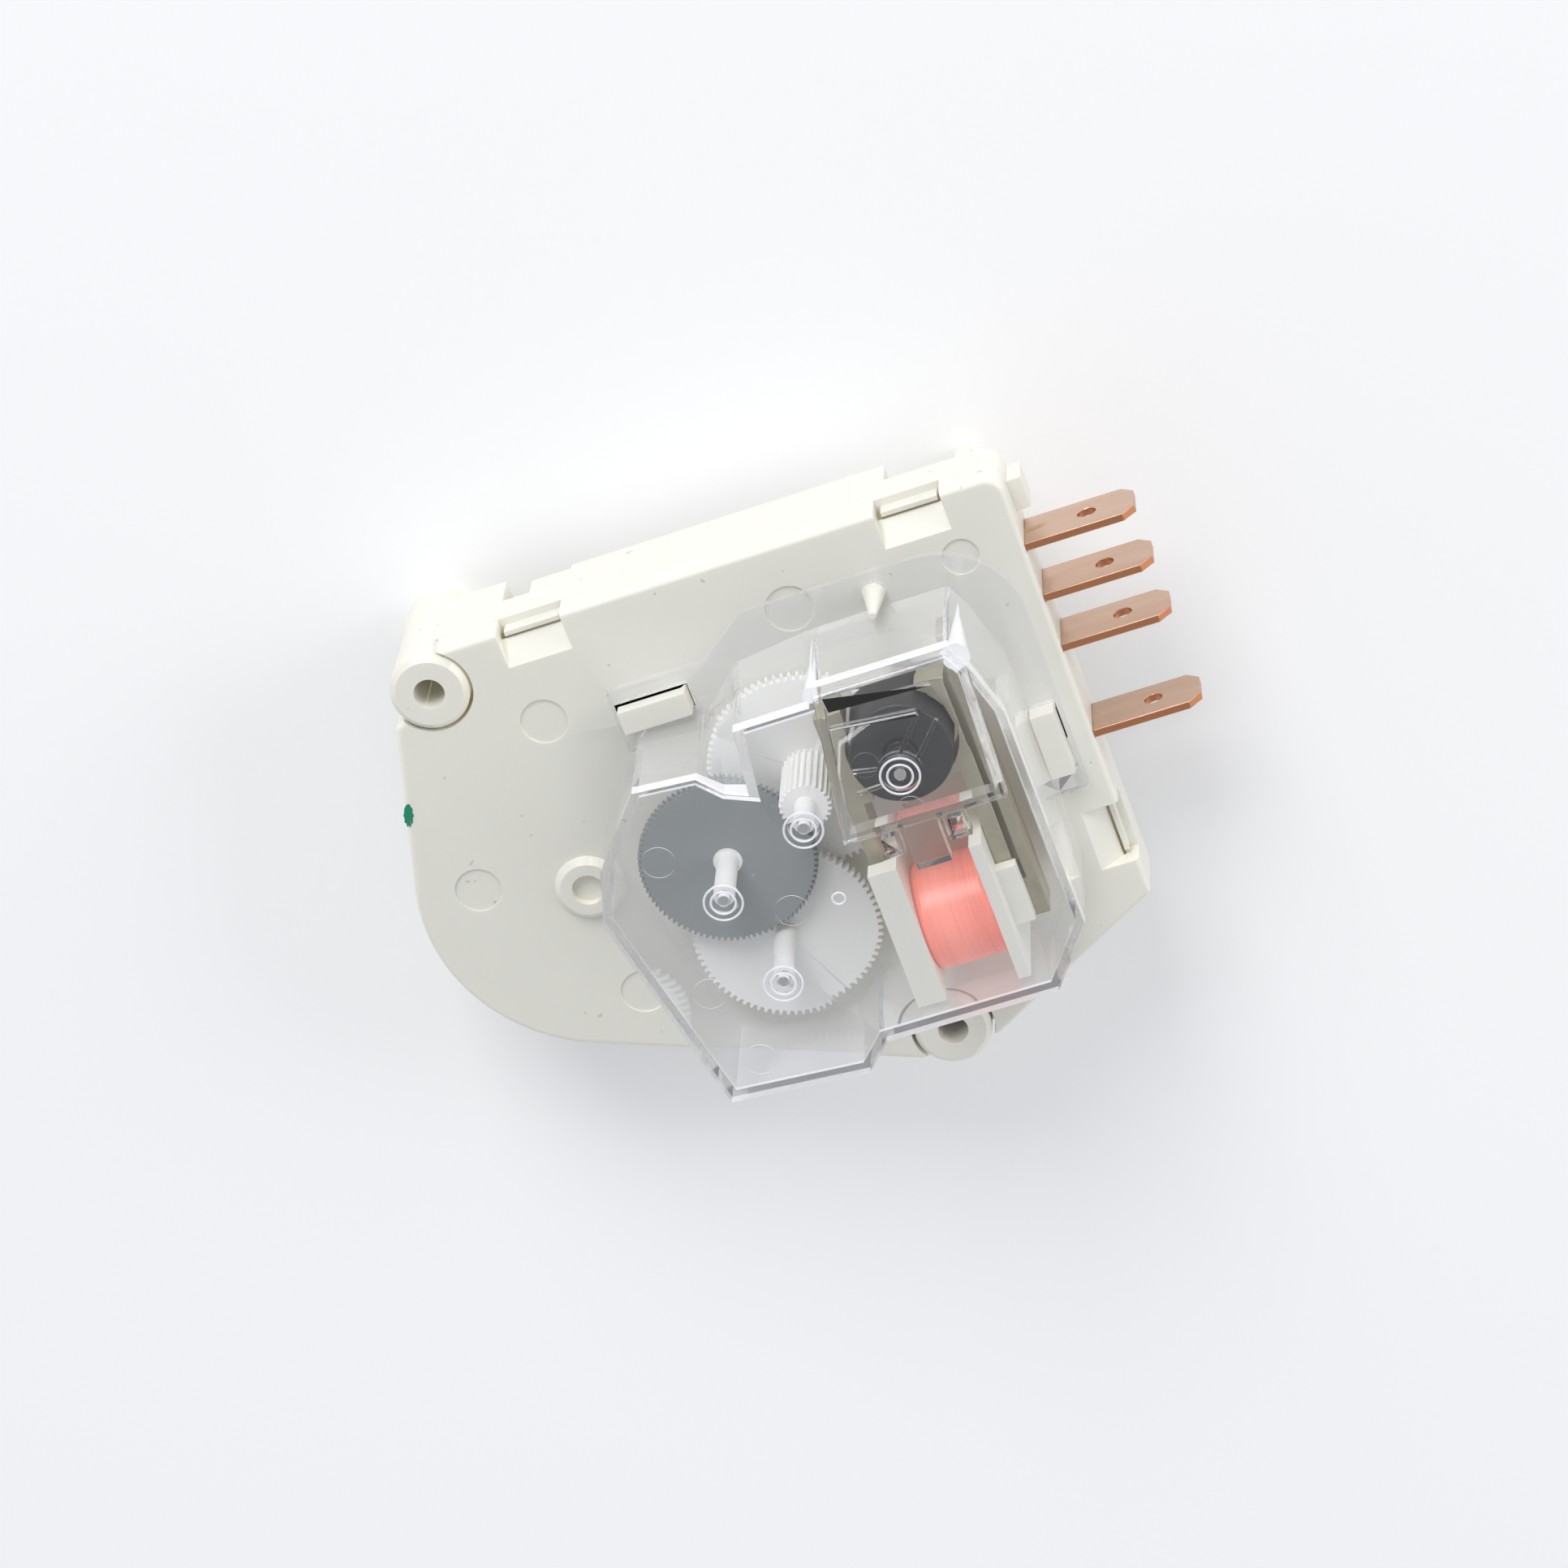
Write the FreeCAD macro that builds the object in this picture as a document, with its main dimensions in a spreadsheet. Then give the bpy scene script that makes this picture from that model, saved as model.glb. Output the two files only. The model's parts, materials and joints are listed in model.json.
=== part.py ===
"""Defrost timer: a cam switch driven by a small synchronous motor under a clear cover.

The timer lies on its back. The origin is the axis of the upper mounting post at its rear end,
+X runs along the top edge towards the four terminals, +Y is up the gear plate and +Z points out
of the clear cover. All lengths are millimetres, all angles degrees.
"""
import FreeCAD, Part

import math
import os

import Sketcher
from FreeCAD import Vector

doc = FreeCAD.newDocument("DefrostTimer")
sheet = doc.addObject("Spreadsheet::Sheet", "Sizes")

# Driving sizes: name, value, meaning
SIZES = [
    ("post_hole", 1.6, "radius of the screw hole in a mounting post"),
    ("post_rad", 4.1, "outside radius of a mounting post"),
    ("post_proud", 0.4, "how far a post stands in front of the gear plate"),
    ("post_round", 0.6, "rounding of a post's front rim"),
    ("post_low_x", 37.4, "lower post, along the top edge"),
    ("post_low_y", -53.9, "lower post, up the plate"),
    ("post_gap", 0.35, "gap between a post and the gear plate"),
    ("plate_front", 16.3, "height of the gear plate's front face"),
    ("plate_thick", 2.0, "thickness of the gear plate"),
    ("rim_deep", 3.5, "depth of the gear plate's rim"),
    ("rim_wall", 1.3, "wall of the rim"),
    ("edge_round", 0.6, "rounding of the housing's edges"),
    ("top_edge", 3.9, "top edge of the housing"),
    ("right_edge", 61.9, "terminal side of the housing"),
    ("lip_x", -4.9, "lip of the plate beside the upper post, along"),
    ("lip_y", -2.9, "lip of the plate beside the upper post, up"),
    ("side_low", -45.2, "lower end of the terminal side"),
    ("flap_x", 41.9, "corner of the flap beside the lower post, along"),
    ("flap_y", -56.1, "corner of the flap beside the lower post, up"),
    ("tail_x", 33.2, "corner before the lower post, along"),
    ("tail_y", -56.5, "corner before the lower post, up"),
    ("toe_x", -14.9, "lower left corner before it is rounded, along"),
    ("toe_y", -37.5, "lower left corner before it is rounded, up"),
    ("toe_round", 19.0, "radius of the lower left corner"),
    ("corner_round", 2.0, "radius of the upper right corner"),
    ("case_rear", 7.7, "height of the case's rear face"),
    ("case_wall", 1.4, "wall of the case"),
    ("case_floor", 1.2, "rear wall of the case"),
    ("block_rear", 4.0, "height of the switch chamber's rear face"),
    ("block_left", 15.9, "left side of the switch chamber"),
    ("block_right", 49.8, "right side of the switch chamber"),
    ("block_low", -39.6, "lower side of the switch chamber"),
    ("web_end", 8.6, "end of the web beside the upper post"),
    ("web_rear", 3.4, "height of that web's rear face"),
    ("web_thick", 3.2, "thickness of the webs on the top edge"),
    ("step_left", 11.6, "left end of the step beside the switch chamber"),
    ("step_rear", 5.4, "height of that step's rear face"),
    ("peg_x", 57.3, "locating peg, along"),
    ("peg_y", 0.9, "locating peg, up"),
    ("peg_base", 1.7, "radius of the peg at its root"),
    ("peg_tip", 0.8, "radius of the peg at its end"),
    ("collar_rad", 3.8, "radius of the collar round the advance shaft"),
    ("collar_out", 1.6, "height of that collar"),
    ("lug_out", 1.5, "how far the side lug stands out"),
    ("lug_top", 1.6, "upper end of the side lug"),
    ("lug_long", 3.4, "length of the side lug"),
    ("latch_left", 8.6, "left end of the first latch window"),
    ("latch_next", 48.8, "left end of the second latch window"),
    ("latch_wide", 6.9, "length of a latch window"),
    ("latch_side", -34.2, "upper end of the latch window in the terminal side"),
    ("latch_deep", 4.0, "depth of a latch window from the edge"),
    ("latch_drop", 2.2, "fall of the latch window's ramp"),
    ("latch_slit", 0.8, "slit between the ramp and the rim"),
    ("latch_tongue", 0.5, "thickness of the case's latch tongue"),
    ("mark_rad", 2.45, "radius of an ejector mark"),
    ("mark_small", 1.9, "radius of the small ejector mark"),
    ("mark_deep", 0.2, "depth of an ejector mark"),
    ("ring_x", 7.3, "ring boss, along"),
    ("ring_y", -25.9, "ring boss, up"),
    ("ring_rad", 3.5, "radius of the ring boss"),
    ("ring_hole", 1.7, "radius of its sunken middle"),
    ("ring_high", 0.9, "height of the ring boss"),
    ("tab_wide", 6.3, "width of a quick-connect tab"),
    ("tab_thick", 0.8, "thickness of a tab"),
    ("tab_out", 11.4, "how far a tab stands out of the housing"),
    ("tab_front", 0.5, "distance of a tab behind the plate's front face"),
    ("tab_tip", 1.3, "chamfer at the end of a tab"),
    ("tab_hole", 0.95, "radius of the locking hole in a tab"),
    ("tab_hole_in", 4.9, "distance of that hole from the tab's end"),
    ("tab_slack", 0.1, "clearance of a tab in its slot"),
    ("tab_one", -4.6, "first tab, up"),
    ("tab_two", -10.4, "second tab, up"),
    ("tab_three", -16.2, "third tab, up"),
    ("tab_four", -26.3, "fourth tab, up"),
    ("leg_high", 3.9, "height of a blade inside the case"),
    ("leg_in", 6.4, "length of a terminal's straight leg inside the case"),
    ("blade_bend", 50.4, "where the fixed blades turn towards the moving one"),
    ("blade_end", 40.4, "free end of the fixed contact blades"),
    ("contact_x", 42.6, "place of the contacts along the blades"),
    ("contact_rad", 1.1, "radius of a contact button"),
    ("contact_thick", 0.7, "thickness of a contact button"),
    ("rivet_rad", 0.5, "radius of the moving contact's shank"),
    ("contact_gap", 0.88, "opening of the upper contact pair"),
    ("touch_gap", 0.05, "gap between pieces that just touch"),
    ("spring_thick", 0.3, "thickness of the moving blade"),
    ("spring_high", 2.4, "height of the moving blade"),
    ("nose_x", 31.0, "place of the follower's nose along the blade"),
    ("nose_rad", 0.6, "radius of the follower's nose"),
    ("nose_side", 1.0, "height of the follower's straight sides"),
    ("nose_wide", 3.2, "width of the follower at the blade"),
    ("cam_rad", 9.2, "radius of the cam's lobe"),
    ("cam_lift", 1.27, "height of the cam's lobe over its low part"),
    ("lobe_turn", 111.0, "direction of the cam's lobe"),
    ("lobe_wide", 10.0, "angle of the lobe's high part"),
    ("lobe_ramp", 4.0, "angle over which the lobe rises"),
    ("lobe_fall", 2.0, "angle over which the lobe falls"),
    ("cam_low", 9.4, "height of the cam's rear face"),
    ("cam_thick", 2.6, "thickness of the cam"),
    ("cam_gap", 0.08, "gap between the follower's nose and the cam"),
    ("shaft_rad", 2.0, "radius of the advance shaft"),
    ("shaft_end", 0.9, "height of the advance shaft's slotted end"),
    ("shaft_slot", 0.9, "width of the screwdriver slot"),
    ("slot_deep", 1.2, "depth of the screwdriver slot"),
    ("shoulder_rad", 3.0, "radius of the shaft's shoulder"),
    ("shoulder_thick", 0.8, "thickness of the shaft's shoulder"),
    ("spigot_rad", 1.5, "radius of the cam's upper spigot"),
    ("journal_rad", 1.0, "radius of the cam's front journal"),
    ("journal_in", 1.0, "reach of that journal into the gear plate"),
    ("run_gap", 0.05, "running clearance of a shaft in its hole"),
    ("side_gap", 0.1, "end play of a moving piece"),
    ("pin_rad", 0.6, "radius of a steel axle"),
    ("pin_slack", 0.02, "clearance of a fixed pin in its hole"),
    ("pillar_rad", 1.5, "radius of the boss that holds an axle"),
    ("sink", 0.5, "how far a joined form reaches into the one that carries it"),
    ("pin_in", 1.4, "reach of a steel axle into the gear plate"),
    ("hub_rad", 1.1, "radius of a gear's hub post"),
    ("wheel_thick", 0.9, "thickness of a gear rim"),
    ("wheel_a", 1.0, "second gear in front of the plate"),
    ("wheel_b", 4.8, "grey gear in front of the plate"),
    ("wheel_c", 2.8, "third gear in front of the plate"),
    ("column_top", 9.4, "front end of the second gear's toothed column"),
    ("mod_one", 0.25, "module of the first gear pair"),
    ("mod_two", 0.2, "module of the second gear pair"),
    ("mod_three", 0.25, "module of the third gear pair"),
    ("mod_four", 0.3, "module of the last gear pair"),
    ("washer_rad", 4.4, "radius of the clutch washer"),
    ("washer_thick", 0.3, "thickness of the clutch washer"),
    ("rotor_x", 44.9, "rotor, along"),
    ("rotor_y", -16.4, "rotor, up"),
    ("rotor_rad", 5.2, "radius of the magnet"),
    ("rotor_long", 8.4, "length of the magnet"),
    ("rotor_low", 3.4, "distance of the magnet in front of the plate"),
    ("rotor_hub", 1.6, "radius of the rotor's hub"),
    ("turn_two", 197.2, "direction from the rotor to the second gear's axle"),
    ("turn_one", 206.3, "direction from the second gear's axle to the grey gear's"),
    ("turn_three", 283.4, "direction from the grey gear's axle to the third"),
    ("turn_cam", 82.3, "direction from the third axle to the cam"),
    ("pole_gap", 0.45, "air gap between the magnet and a pole"),
    ("pole_thick", 1.7, "thickness of a yoke arm"),
    ("pole_up", 5.0, "reach of a yoke arm above the rotor's axis"),
    ("pole_reach", 1.2, "how far a pole shoe stands in from its yoke arm"),
    ("sheet_thick", 1.1, "thickness of the outer yoke sheet"),
    ("sheet_gap", 0.7, "space between a yoke arm and the outer sheet"),
    ("sheet_up", 9.2, "reach of the outer sheet above the rotor's axis"),
    ("stack_high", 4.4, "height of the lamination stack"),
    ("core_wide", 4.4, "width of the core inside the coil"),
    ("coil_x", 44.2, "middle of the coil, along"),
    ("coil_half", 3.8, "half the length of the winding's space"),
    ("coil_y", -37.0, "coil's axis, up"),
    ("coil_up", 6.7, "coil's axis, in front of the plate"),
    ("coil_rad", 5.6, "radius of the winding"),
    ("tube_rad", 3.8, "radius of the bobbin's tube"),
    ("flange_thick", 1.3, "thickness of a bobbin flange"),
    ("flange_up", 9.2, "bobbin flange above the coil's axis"),
    ("flange_down", 6.6, "bobbin flange below the coil's axis"),
    ("cap_wide", 3.0, "width of the left flange's front edge"),
    ("cap_thick", 2.4, "depth of the left flange's front edge"),
    ("block_wide", 2.1, "width of the bobbin's terminal block"),
    ("block_up", 4.7, "upper end of the terminal block from the coil's axis"),
    ("block_down", 1.8, "lower end of the terminal block from the coil's axis"),
    ("block_thick", 1.5, "thickness of the terminal block"),
    ("flange_front", 6.0, "bobbin flange in front of the coil's axis"),
    ("foot_up", -4.0, "top of a bobbin foot from the coil's axis"),
    ("foot_high", 2.3, "height of a bobbin foot"),
    ("rail_x", 54.2, "motor rail on the plate, along"),
    ("rail_thick", 1.0, "thickness of the motor rail"),
    ("rail_top", -17.0, "upper end of the motor rail"),
    ("rail_low", -37.4, "lower end of the motor rail"),
    ("rail_high", 6.0, "height of the motor rail"),
    ("lead_rad", 0.35, "radius of a coil pin"),
    ("lead_long", 6.0, "length of a coil pin"),
    ("cover_wall", 0.9, "wall of the clear cover"),
    ("flange_deep", 1.0, "thickness of the clear cover's flange"),
    ("cover_top", 14.8, "cover's main face in front of the plate"),
    ("chamber_top", 16.8, "motor chamber's face in front of the plate"),
    ("cover_round", 0.7, "rounding of the cover's outer edges"),
    ("flange_round", 9.0, "radius of the flange's upper right corner"),
    ("cover_draft", 0.2, "how far the cover's walls lean out at the plate"),
    ("rib_wide", 0.35, "thickness of a rib under the chamber's face"),
    ("rib_deep", 0.5, "height of a rib under the chamber's face"),
    ("ring_rib", 1.95, "radius of the rib round the rotor's seat"),
    ("foot_wide", 2.3, "side of a hollow foot beside the chamber"),
    ("foot_wall", 0.45, "wall of a hollow foot"),
    ("tongue_wide", 3.5, "width of the tongue below the chamber"),
    ("tongue_long", 4.8, "length of the tongue below the chamber"),
    ("circle_rad", 1.7, "radius of an ejector circle in the cover"),
    ("circle_deep", 0.12, "height of an ejector circle"),
    ("seat_rad", 1.6, "radius of a bearing seat on the cover"),
    ("seat_in", 1.6, "reach of a bearing seat into the cover"),
    ("seat_deep", 1.1, "depth of a bearing seat's hole"),
    ("hook_out", 2.5, "width of a cover hook"),
    ("hook_long", 7.2, "length of a cover hook"),
    ("hook_high", 1.6, "height of a cover hook over the plate"),
    ("hook_slack", 0.3, "clearance round a cover hook"),
    ("hook_one_x", 17.7, "left end of the cover hook on the gear side"),
    ("hook_one_y", -7.3, "upper side of that hook"),
    ("hook_two_x", 56.7, "left side of the cover hook on the terminal side"),
    ("hook_two_y", -21.2, "upper end of that hook"),
    ("cone_x", 46.2, "locating cone, along"),
    ("cone_y", -4.0, "locating cone, up"),
    ("cone_rad", 1.25, "radius of the locating cone at its root"),
    ("cone_tip", 0.35, "radius of the locating cone at its tip"),
    ("cone_high", 6.4, "height of the locating cone"),
]
for row, (name, value, note) in enumerate(SIZES, 1):
    sheet.set("A%d" % row, name)
    sheet.set("B%d" % row, str(value))
    sheet.setAlias("B%d" % row, name)
    sheet.set("C%d" % row, note)
doc.recompute()

# Numbers of teeth, from the rotor to the cam
TEETH = {"rotor": 12, "wheel_a": 83, "column_a": 25, "wheel_b": 90,
         "pinion_b": 10, "wheel_c": 77, "pinion_c": 10, "cam_wheel": 74}


class Size:
    """A length or angle: its value now, and the expression that gives it from the sheet."""

    def __init__(self, value, text):
        self.value = value
        self.text = text

    def __add__(self, other):
        other = as_size(other)
        return Size(self.value + other.value, "(%s + %s)" % (self.text, other.text))

    def __sub__(self, other):
        other = as_size(other)
        return Size(self.value - other.value, "(%s - %s)" % (self.text, other.text))

    def __mul__(self, other):
        other = as_size(other)
        return Size(self.value * other.value, "(%s * %s)" % (self.text, other.text))

    def cosine(self):
        return Size(math.cos(math.radians(self.value)), "cos(%s * 1 deg)" % self.text)

    def sine(self):
        return Size(math.sin(math.radians(self.value)), "sin(%s * 1 deg)" % self.text)

    def root(self):
        return Size(math.sqrt(self.value), "sqrt(%s)" % self.text)


def as_size(number):
    """Takes a bare number as a size of its own."""
    if isinstance(number, Size):
        return number
    return Size(float(number), "%.9g" % number)


def size(name):
    """The sheet's value with this alias."""
    return Size(float(sheet.get(name)), "Sizes." + name)


def new_body(label):
    """A sub-part of its own; its label names its file."""
    body = doc.addObject("PartDesign::Body", label)
    body.Label = label
    return body


def new_sketch(body, name, height, role="XY_Plane"):
    """A sketch on one of the body's own planes, moved along the plane's normal."""
    sketch = body.newObject("Sketcher::SketchObject", name)
    plane = [p for p in body.Origin.OriginFeatures if p.Role == role][0]
    sketch.AttachmentSupport = [(plane, "")]
    sketch.MapMode = "FlatFace"
    sketch.setExpression("AttachmentOffset.Base.z", as_size(height).text)
    return sketch


def bind(sketch, constraint, expression):
    """Adds a constraint whose value follows an expression."""
    number = sketch.addConstraint(constraint)
    sketch.setExpression("Constraints[%d]" % number, expression)


def pin_point(sketch, index, vertex, x, y):
    """Fixes a sketch point by its two distances from the sketch's origin."""
    bind(sketch, Sketcher.Constraint("DistanceX", -1, 1, index, vertex, x.value), x.text)
    bind(sketch, Sketcher.Constraint("DistanceY", -1, 1, index, vertex, y.value), y.text)


def tangent_points(points, i, radius):
    """Where a rounded corner of an outline starts and ends, and the centre of its arc."""
    x, y = points[i]
    back_x, back_y = points[i - 1]
    next_x, next_y = points[(i + 1) % len(points)]
    back = Vector(back_x.value - x.value, back_y.value - y.value, 0).normalize()
    onward = Vector(next_x.value - x.value, next_y.value - y.value, 0).normalize()
    half = back.getAngle(onward) / 2
    reach = 1 / math.tan(half)
    start = (x + radius * (back.x * reach), y + radius * (back.y * reach))
    end = (x + radius * (onward.x * reach), y + radius * (onward.y * reach))
    middle = (back + onward).normalize() * (radius.value / math.sin(half))
    return start, end, Vector(x.value, y.value, 0) + middle


def draw_polygon(sketch, points, rounds=None):
    """A closed outline through points given as pairs of sizes, anticlockwise if rounded."""
    points = [(as_size(x), as_size(y)) for x, y in points]
    rounds = rounds or {}
    pieces = []
    for i, point in enumerate(points):
        if i in rounds:
            start, end, centre = tangent_points(points, i, rounds[i])
            pieces.append(("arc", start, rounds[i], end, centre))
            pieces.append(("line", end))
        else:
            pieces.append(("line", point))
    first = sketch.GeometryCount
    count = len(pieces)
    for i, piece in enumerate(pieces):
        x, y = piece[1]
        if piece[0] == "arc":
            radius, (end_x, end_y), centre = piece[2:]
            start_turn = math.atan2(y.value - centre.y, x.value - centre.x)
            end_turn = math.atan2(end_y.value - centre.y, end_x.value - centre.x)
            circle = Part.Circle(centre, Vector(0, 0, 1), radius.value)
            sketch.addGeometry(Part.ArcOfCircle(circle, start_turn, end_turn), False)
        else:
            next_x, next_y = pieces[(i + 1) % count][1]
            sketch.addGeometry(Part.LineSegment(
                Vector(x.value, y.value, 0), Vector(next_x.value, next_y.value, 0)), False)
    for i, piece in enumerate(pieces):
        following = first + (i + 1) % count
        sketch.addConstraint(Sketcher.Constraint("Coincident", first + i, 2, following, 1))
        pin_point(sketch, first + i, 1, *piece[1])
        if piece[0] == "arc":
            bind(sketch, Sketcher.Constraint("Radius", first + i, piece[2].value),
                 piece[2].text)


def draw_box(sketch, low_x, low_y, high_x, high_y):
    """A rectangle from its two corners."""
    draw_polygon(sketch, [(low_x, low_y), (high_x, low_y), (high_x, high_y), (low_x, high_y)])


def draw_circle(sketch, x, y, radius):
    """A circle from its centre and radius."""
    x, y, radius = as_size(x), as_size(y), as_size(radius)
    circle = Part.Circle(Vector(x.value, y.value, 0), Vector(0, 0, 1), radius.value)
    index = sketch.addGeometry(circle, False)
    bind(sketch, Sketcher.Constraint("Radius", index, radius.value), radius.text)
    pin_point(sketch, index, 3, x, y)


def add_pad(body, name, sketch, length):
    """Adds the sketch's outline, raised along the sketch's normal."""
    pad = body.newObject("PartDesign::Pad", name)
    pad.Profile = sketch
    pad.setExpression("Length", as_size(length).text)
    doc.recompute()
    return pad


def cut_pocket(body, name, sketch, length, forward=False):
    """Cuts the sketch's outline, against the sketch's normal unless forward is set."""
    before = body.Shape.Volume
    pocket = body.newObject("PartDesign::Pocket", name)
    pocket.Profile = sketch
    pocket.Reversed = forward
    pocket.setExpression("Length", as_size(length).text)
    doc.recompute()
    if body.Shape.Volume >= before - 1e-6:
        raise ValueError("%s of %s cuts nothing" % (name, body.Label))
    return pocket


def round_edges(body, name, radius, chosen):
    """Rounds the edges of the body for which the test chosen holds."""
    base = body.Tip
    edges = ["Edge%d" % (i + 1) for i, edge in enumerate(base.Shape.Edges) if chosen(edge)]
    fillet = body.newObject("PartDesign::Fillet", name)
    fillet.Base = (base, edges)
    fillet.setExpression("Radius", as_size(radius).text)
    doc.recompute()
    return fillet


def chamfer_edges(body, name, width, chosen):
    """Cuts off the edges of the body for which the test chosen holds."""
    base = body.Tip
    edges = ["Edge%d" % (i + 1) for i, edge in enumerate(base.Shape.Edges) if chosen(edge)]
    chamfer = body.newObject("PartDesign::Chamfer", name)
    chamfer.Base = (base, edges)
    chamfer.setExpression("Size", as_size(width).text)
    doc.recompute()
    return chamfer


def upright_at(*places):
    """A test for the upright edges at these places."""
    def chosen(edge):
        box = edge.BoundBox
        if box.ZLength < 0.5 or max(box.XLength, box.YLength) > 1e-4:
            return False
        return any(math.hypot(box.XMin - x.value, box.YMin - y.value) < 1e-3 for x, y in places)
    return chosen


def level_at(height):
    """A test for the edges that lie at this height."""
    def chosen(edge):
        box = edge.BoundBox
        return abs(box.ZMin - height.value) < 1e-4 and abs(box.ZMax - height.value) < 1e-4
    return chosen


def box_pad(body, name, low, high):
    """Adds a block from its two corners."""
    sketch = new_sketch(body, name + "_outline", low[2])
    draw_box(sketch, low[0], low[1], high[0], high[1])
    return add_pad(body, name, sketch, as_size(high[2]) - low[2])


def round_pad(body, name, x, y, radius, low, high):
    """Adds an upright round pillar."""
    sketch = new_sketch(body, name + "_outline", low)
    draw_circle(sketch, x, y, radius)
    return add_pad(body, name, sketch, as_size(high) - low)


def box_pocket(body, name, low, high):
    """Cuts a block from its two corners, starting at its front face."""
    sketch = new_sketch(body, name + "_outline", high[2])
    draw_box(sketch, low[0], low[1], high[0], high[1])
    return cut_pocket(body, name, sketch, as_size(high[2]) - low[2])


def round_pocket(body, name, x, y, radius, low, high):
    """Cuts an upright round hole, starting at its front end."""
    sketch = new_sketch(body, name + "_outline", high)
    draw_circle(sketch, x, y, radius)
    return cut_pocket(body, name, sketch, as_size(high) - low)


def inset(points, wall):
    """The outline moved inward by a wall, for points that run anticlockwise."""
    moved = []
    count = len(points)
    for i, (x, y) in enumerate(points):
        previous, following = points[i - 1], points[(i + 1) % count]
        into = Vector(x.value - previous[0].value, y.value - previous[1].value, 0)
        out = Vector(following[0].value - x.value, following[1].value - y.value, 0)
        into.normalize()
        out.normalize()
        first = Vector(-into.y, into.x, 0)
        second = Vector(-out.y, out.x, 0)
        shift = (first + second) / (1 + first.dot(second))
        moved.append((x + as_size(wall) * shift.x, y + as_size(wall) * shift.y))
    return moved


# Heights and places that several pieces share
front = size("plate_front")
plate_back = front - size("plate_thick")
seam = front - size("rim_deep")
case_inner = size("case_rear") + size("case_floor")
block_inner = size("block_rear") + size("case_floor")
post_low = (size("post_low_x"), size("post_low_y"))
zero = as_size(0)
rotor_place = (size("rotor_x"), size("rotor_y"))


def beside(place, turn, module, teeth):
    """An axle's place, one gear pair's centre distance away in a given direction."""
    distance = module * (teeth * 0.5)
    return (place[0] + distance * turn.cosine(), place[1] + distance * turn.sine())


axle_two = beside(rotor_place, size("turn_two"), size("mod_one"),
                  TEETH["rotor"] + TEETH["wheel_a"])
axle_one = beside(axle_two, size("turn_one"), size("mod_two"),
                  TEETH["column_a"] + TEETH["wheel_b"])
axle_three = beside(axle_one, size("turn_three"), size("mod_three"),
                    TEETH["pinion_b"] + TEETH["wheel_c"])
cam_place = beside(axle_three, size("turn_cam"), size("mod_four"),
                   TEETH["pinion_c"] + TEETH["cam_wheel"])

top_start = (size("post_rad") * 0.4, size("top_edge"))
corner = (size("right_edge"), size("top_edge"))
side_end = (size("right_edge"), size("side_low"))
flap = (size("flap_x"), size("flap_y"))
tail = (size("tail_x"), size("tail_y"))
toe = (size("toe_x"), size("toe_y"))
lip = (size("lip_x"), size("lip_y"))
outline = [(zero, zero), lip, toe, tail, flap, side_end, corner, top_start]
tabs = {"one": size("tab_one"), "two": size("tab_two"),
        "three": size("tab_three"), "four": size("tab_four")}
tab_top = front - size("tab_front")
tab_low = tab_top - size("tab_wide")


def outline_rounds(wall):
    """The rounded corners of the housing's outline, or of its inside behind a wall."""
    return {outline.index(toe): size("toe_round") - wall,
            outline.index(corner): size("corner_round") - wall}


def housing_shell(body, low, high):
    """The housing's outline between two heights, with its upright corners rounded."""
    sketch = new_sketch(body, "outline", low)
    draw_polygon(sketch, outline, outline_rounds(zero))
    add_pad(body, "shell", sketch, high - low)


def tab_slots(body, low, high):
    """Slots in the terminal side through which the tabs come out."""
    half = size("tab_thick") * 0.5 + size("tab_slack")
    for name, y in tabs.items():
        box_pocket(body, "tab_slot_" + name,
                   (size("right_edge") - size("case_wall") * 2, y - half, low),
                   (size("right_edge") + size("lug_out"), y + half, high))


def latch_windows():
    """Each latch window as two corners in the plate's plane and the axis of its ramp."""
    upper = size("top_edge") - size("latch_deep")
    wide = size("latch_wide")
    side = size("right_edge") - size("latch_deep")
    return {
        "left": ((size("latch_left"), upper), (size("latch_left") + wide, size("top_edge"))),
        "right": ((size("latch_next"), upper), (size("latch_next") + wide, size("top_edge"))),
        "side": ((side, size("latch_side") - wide), (size("right_edge"), size("latch_side"))),
    }


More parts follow.
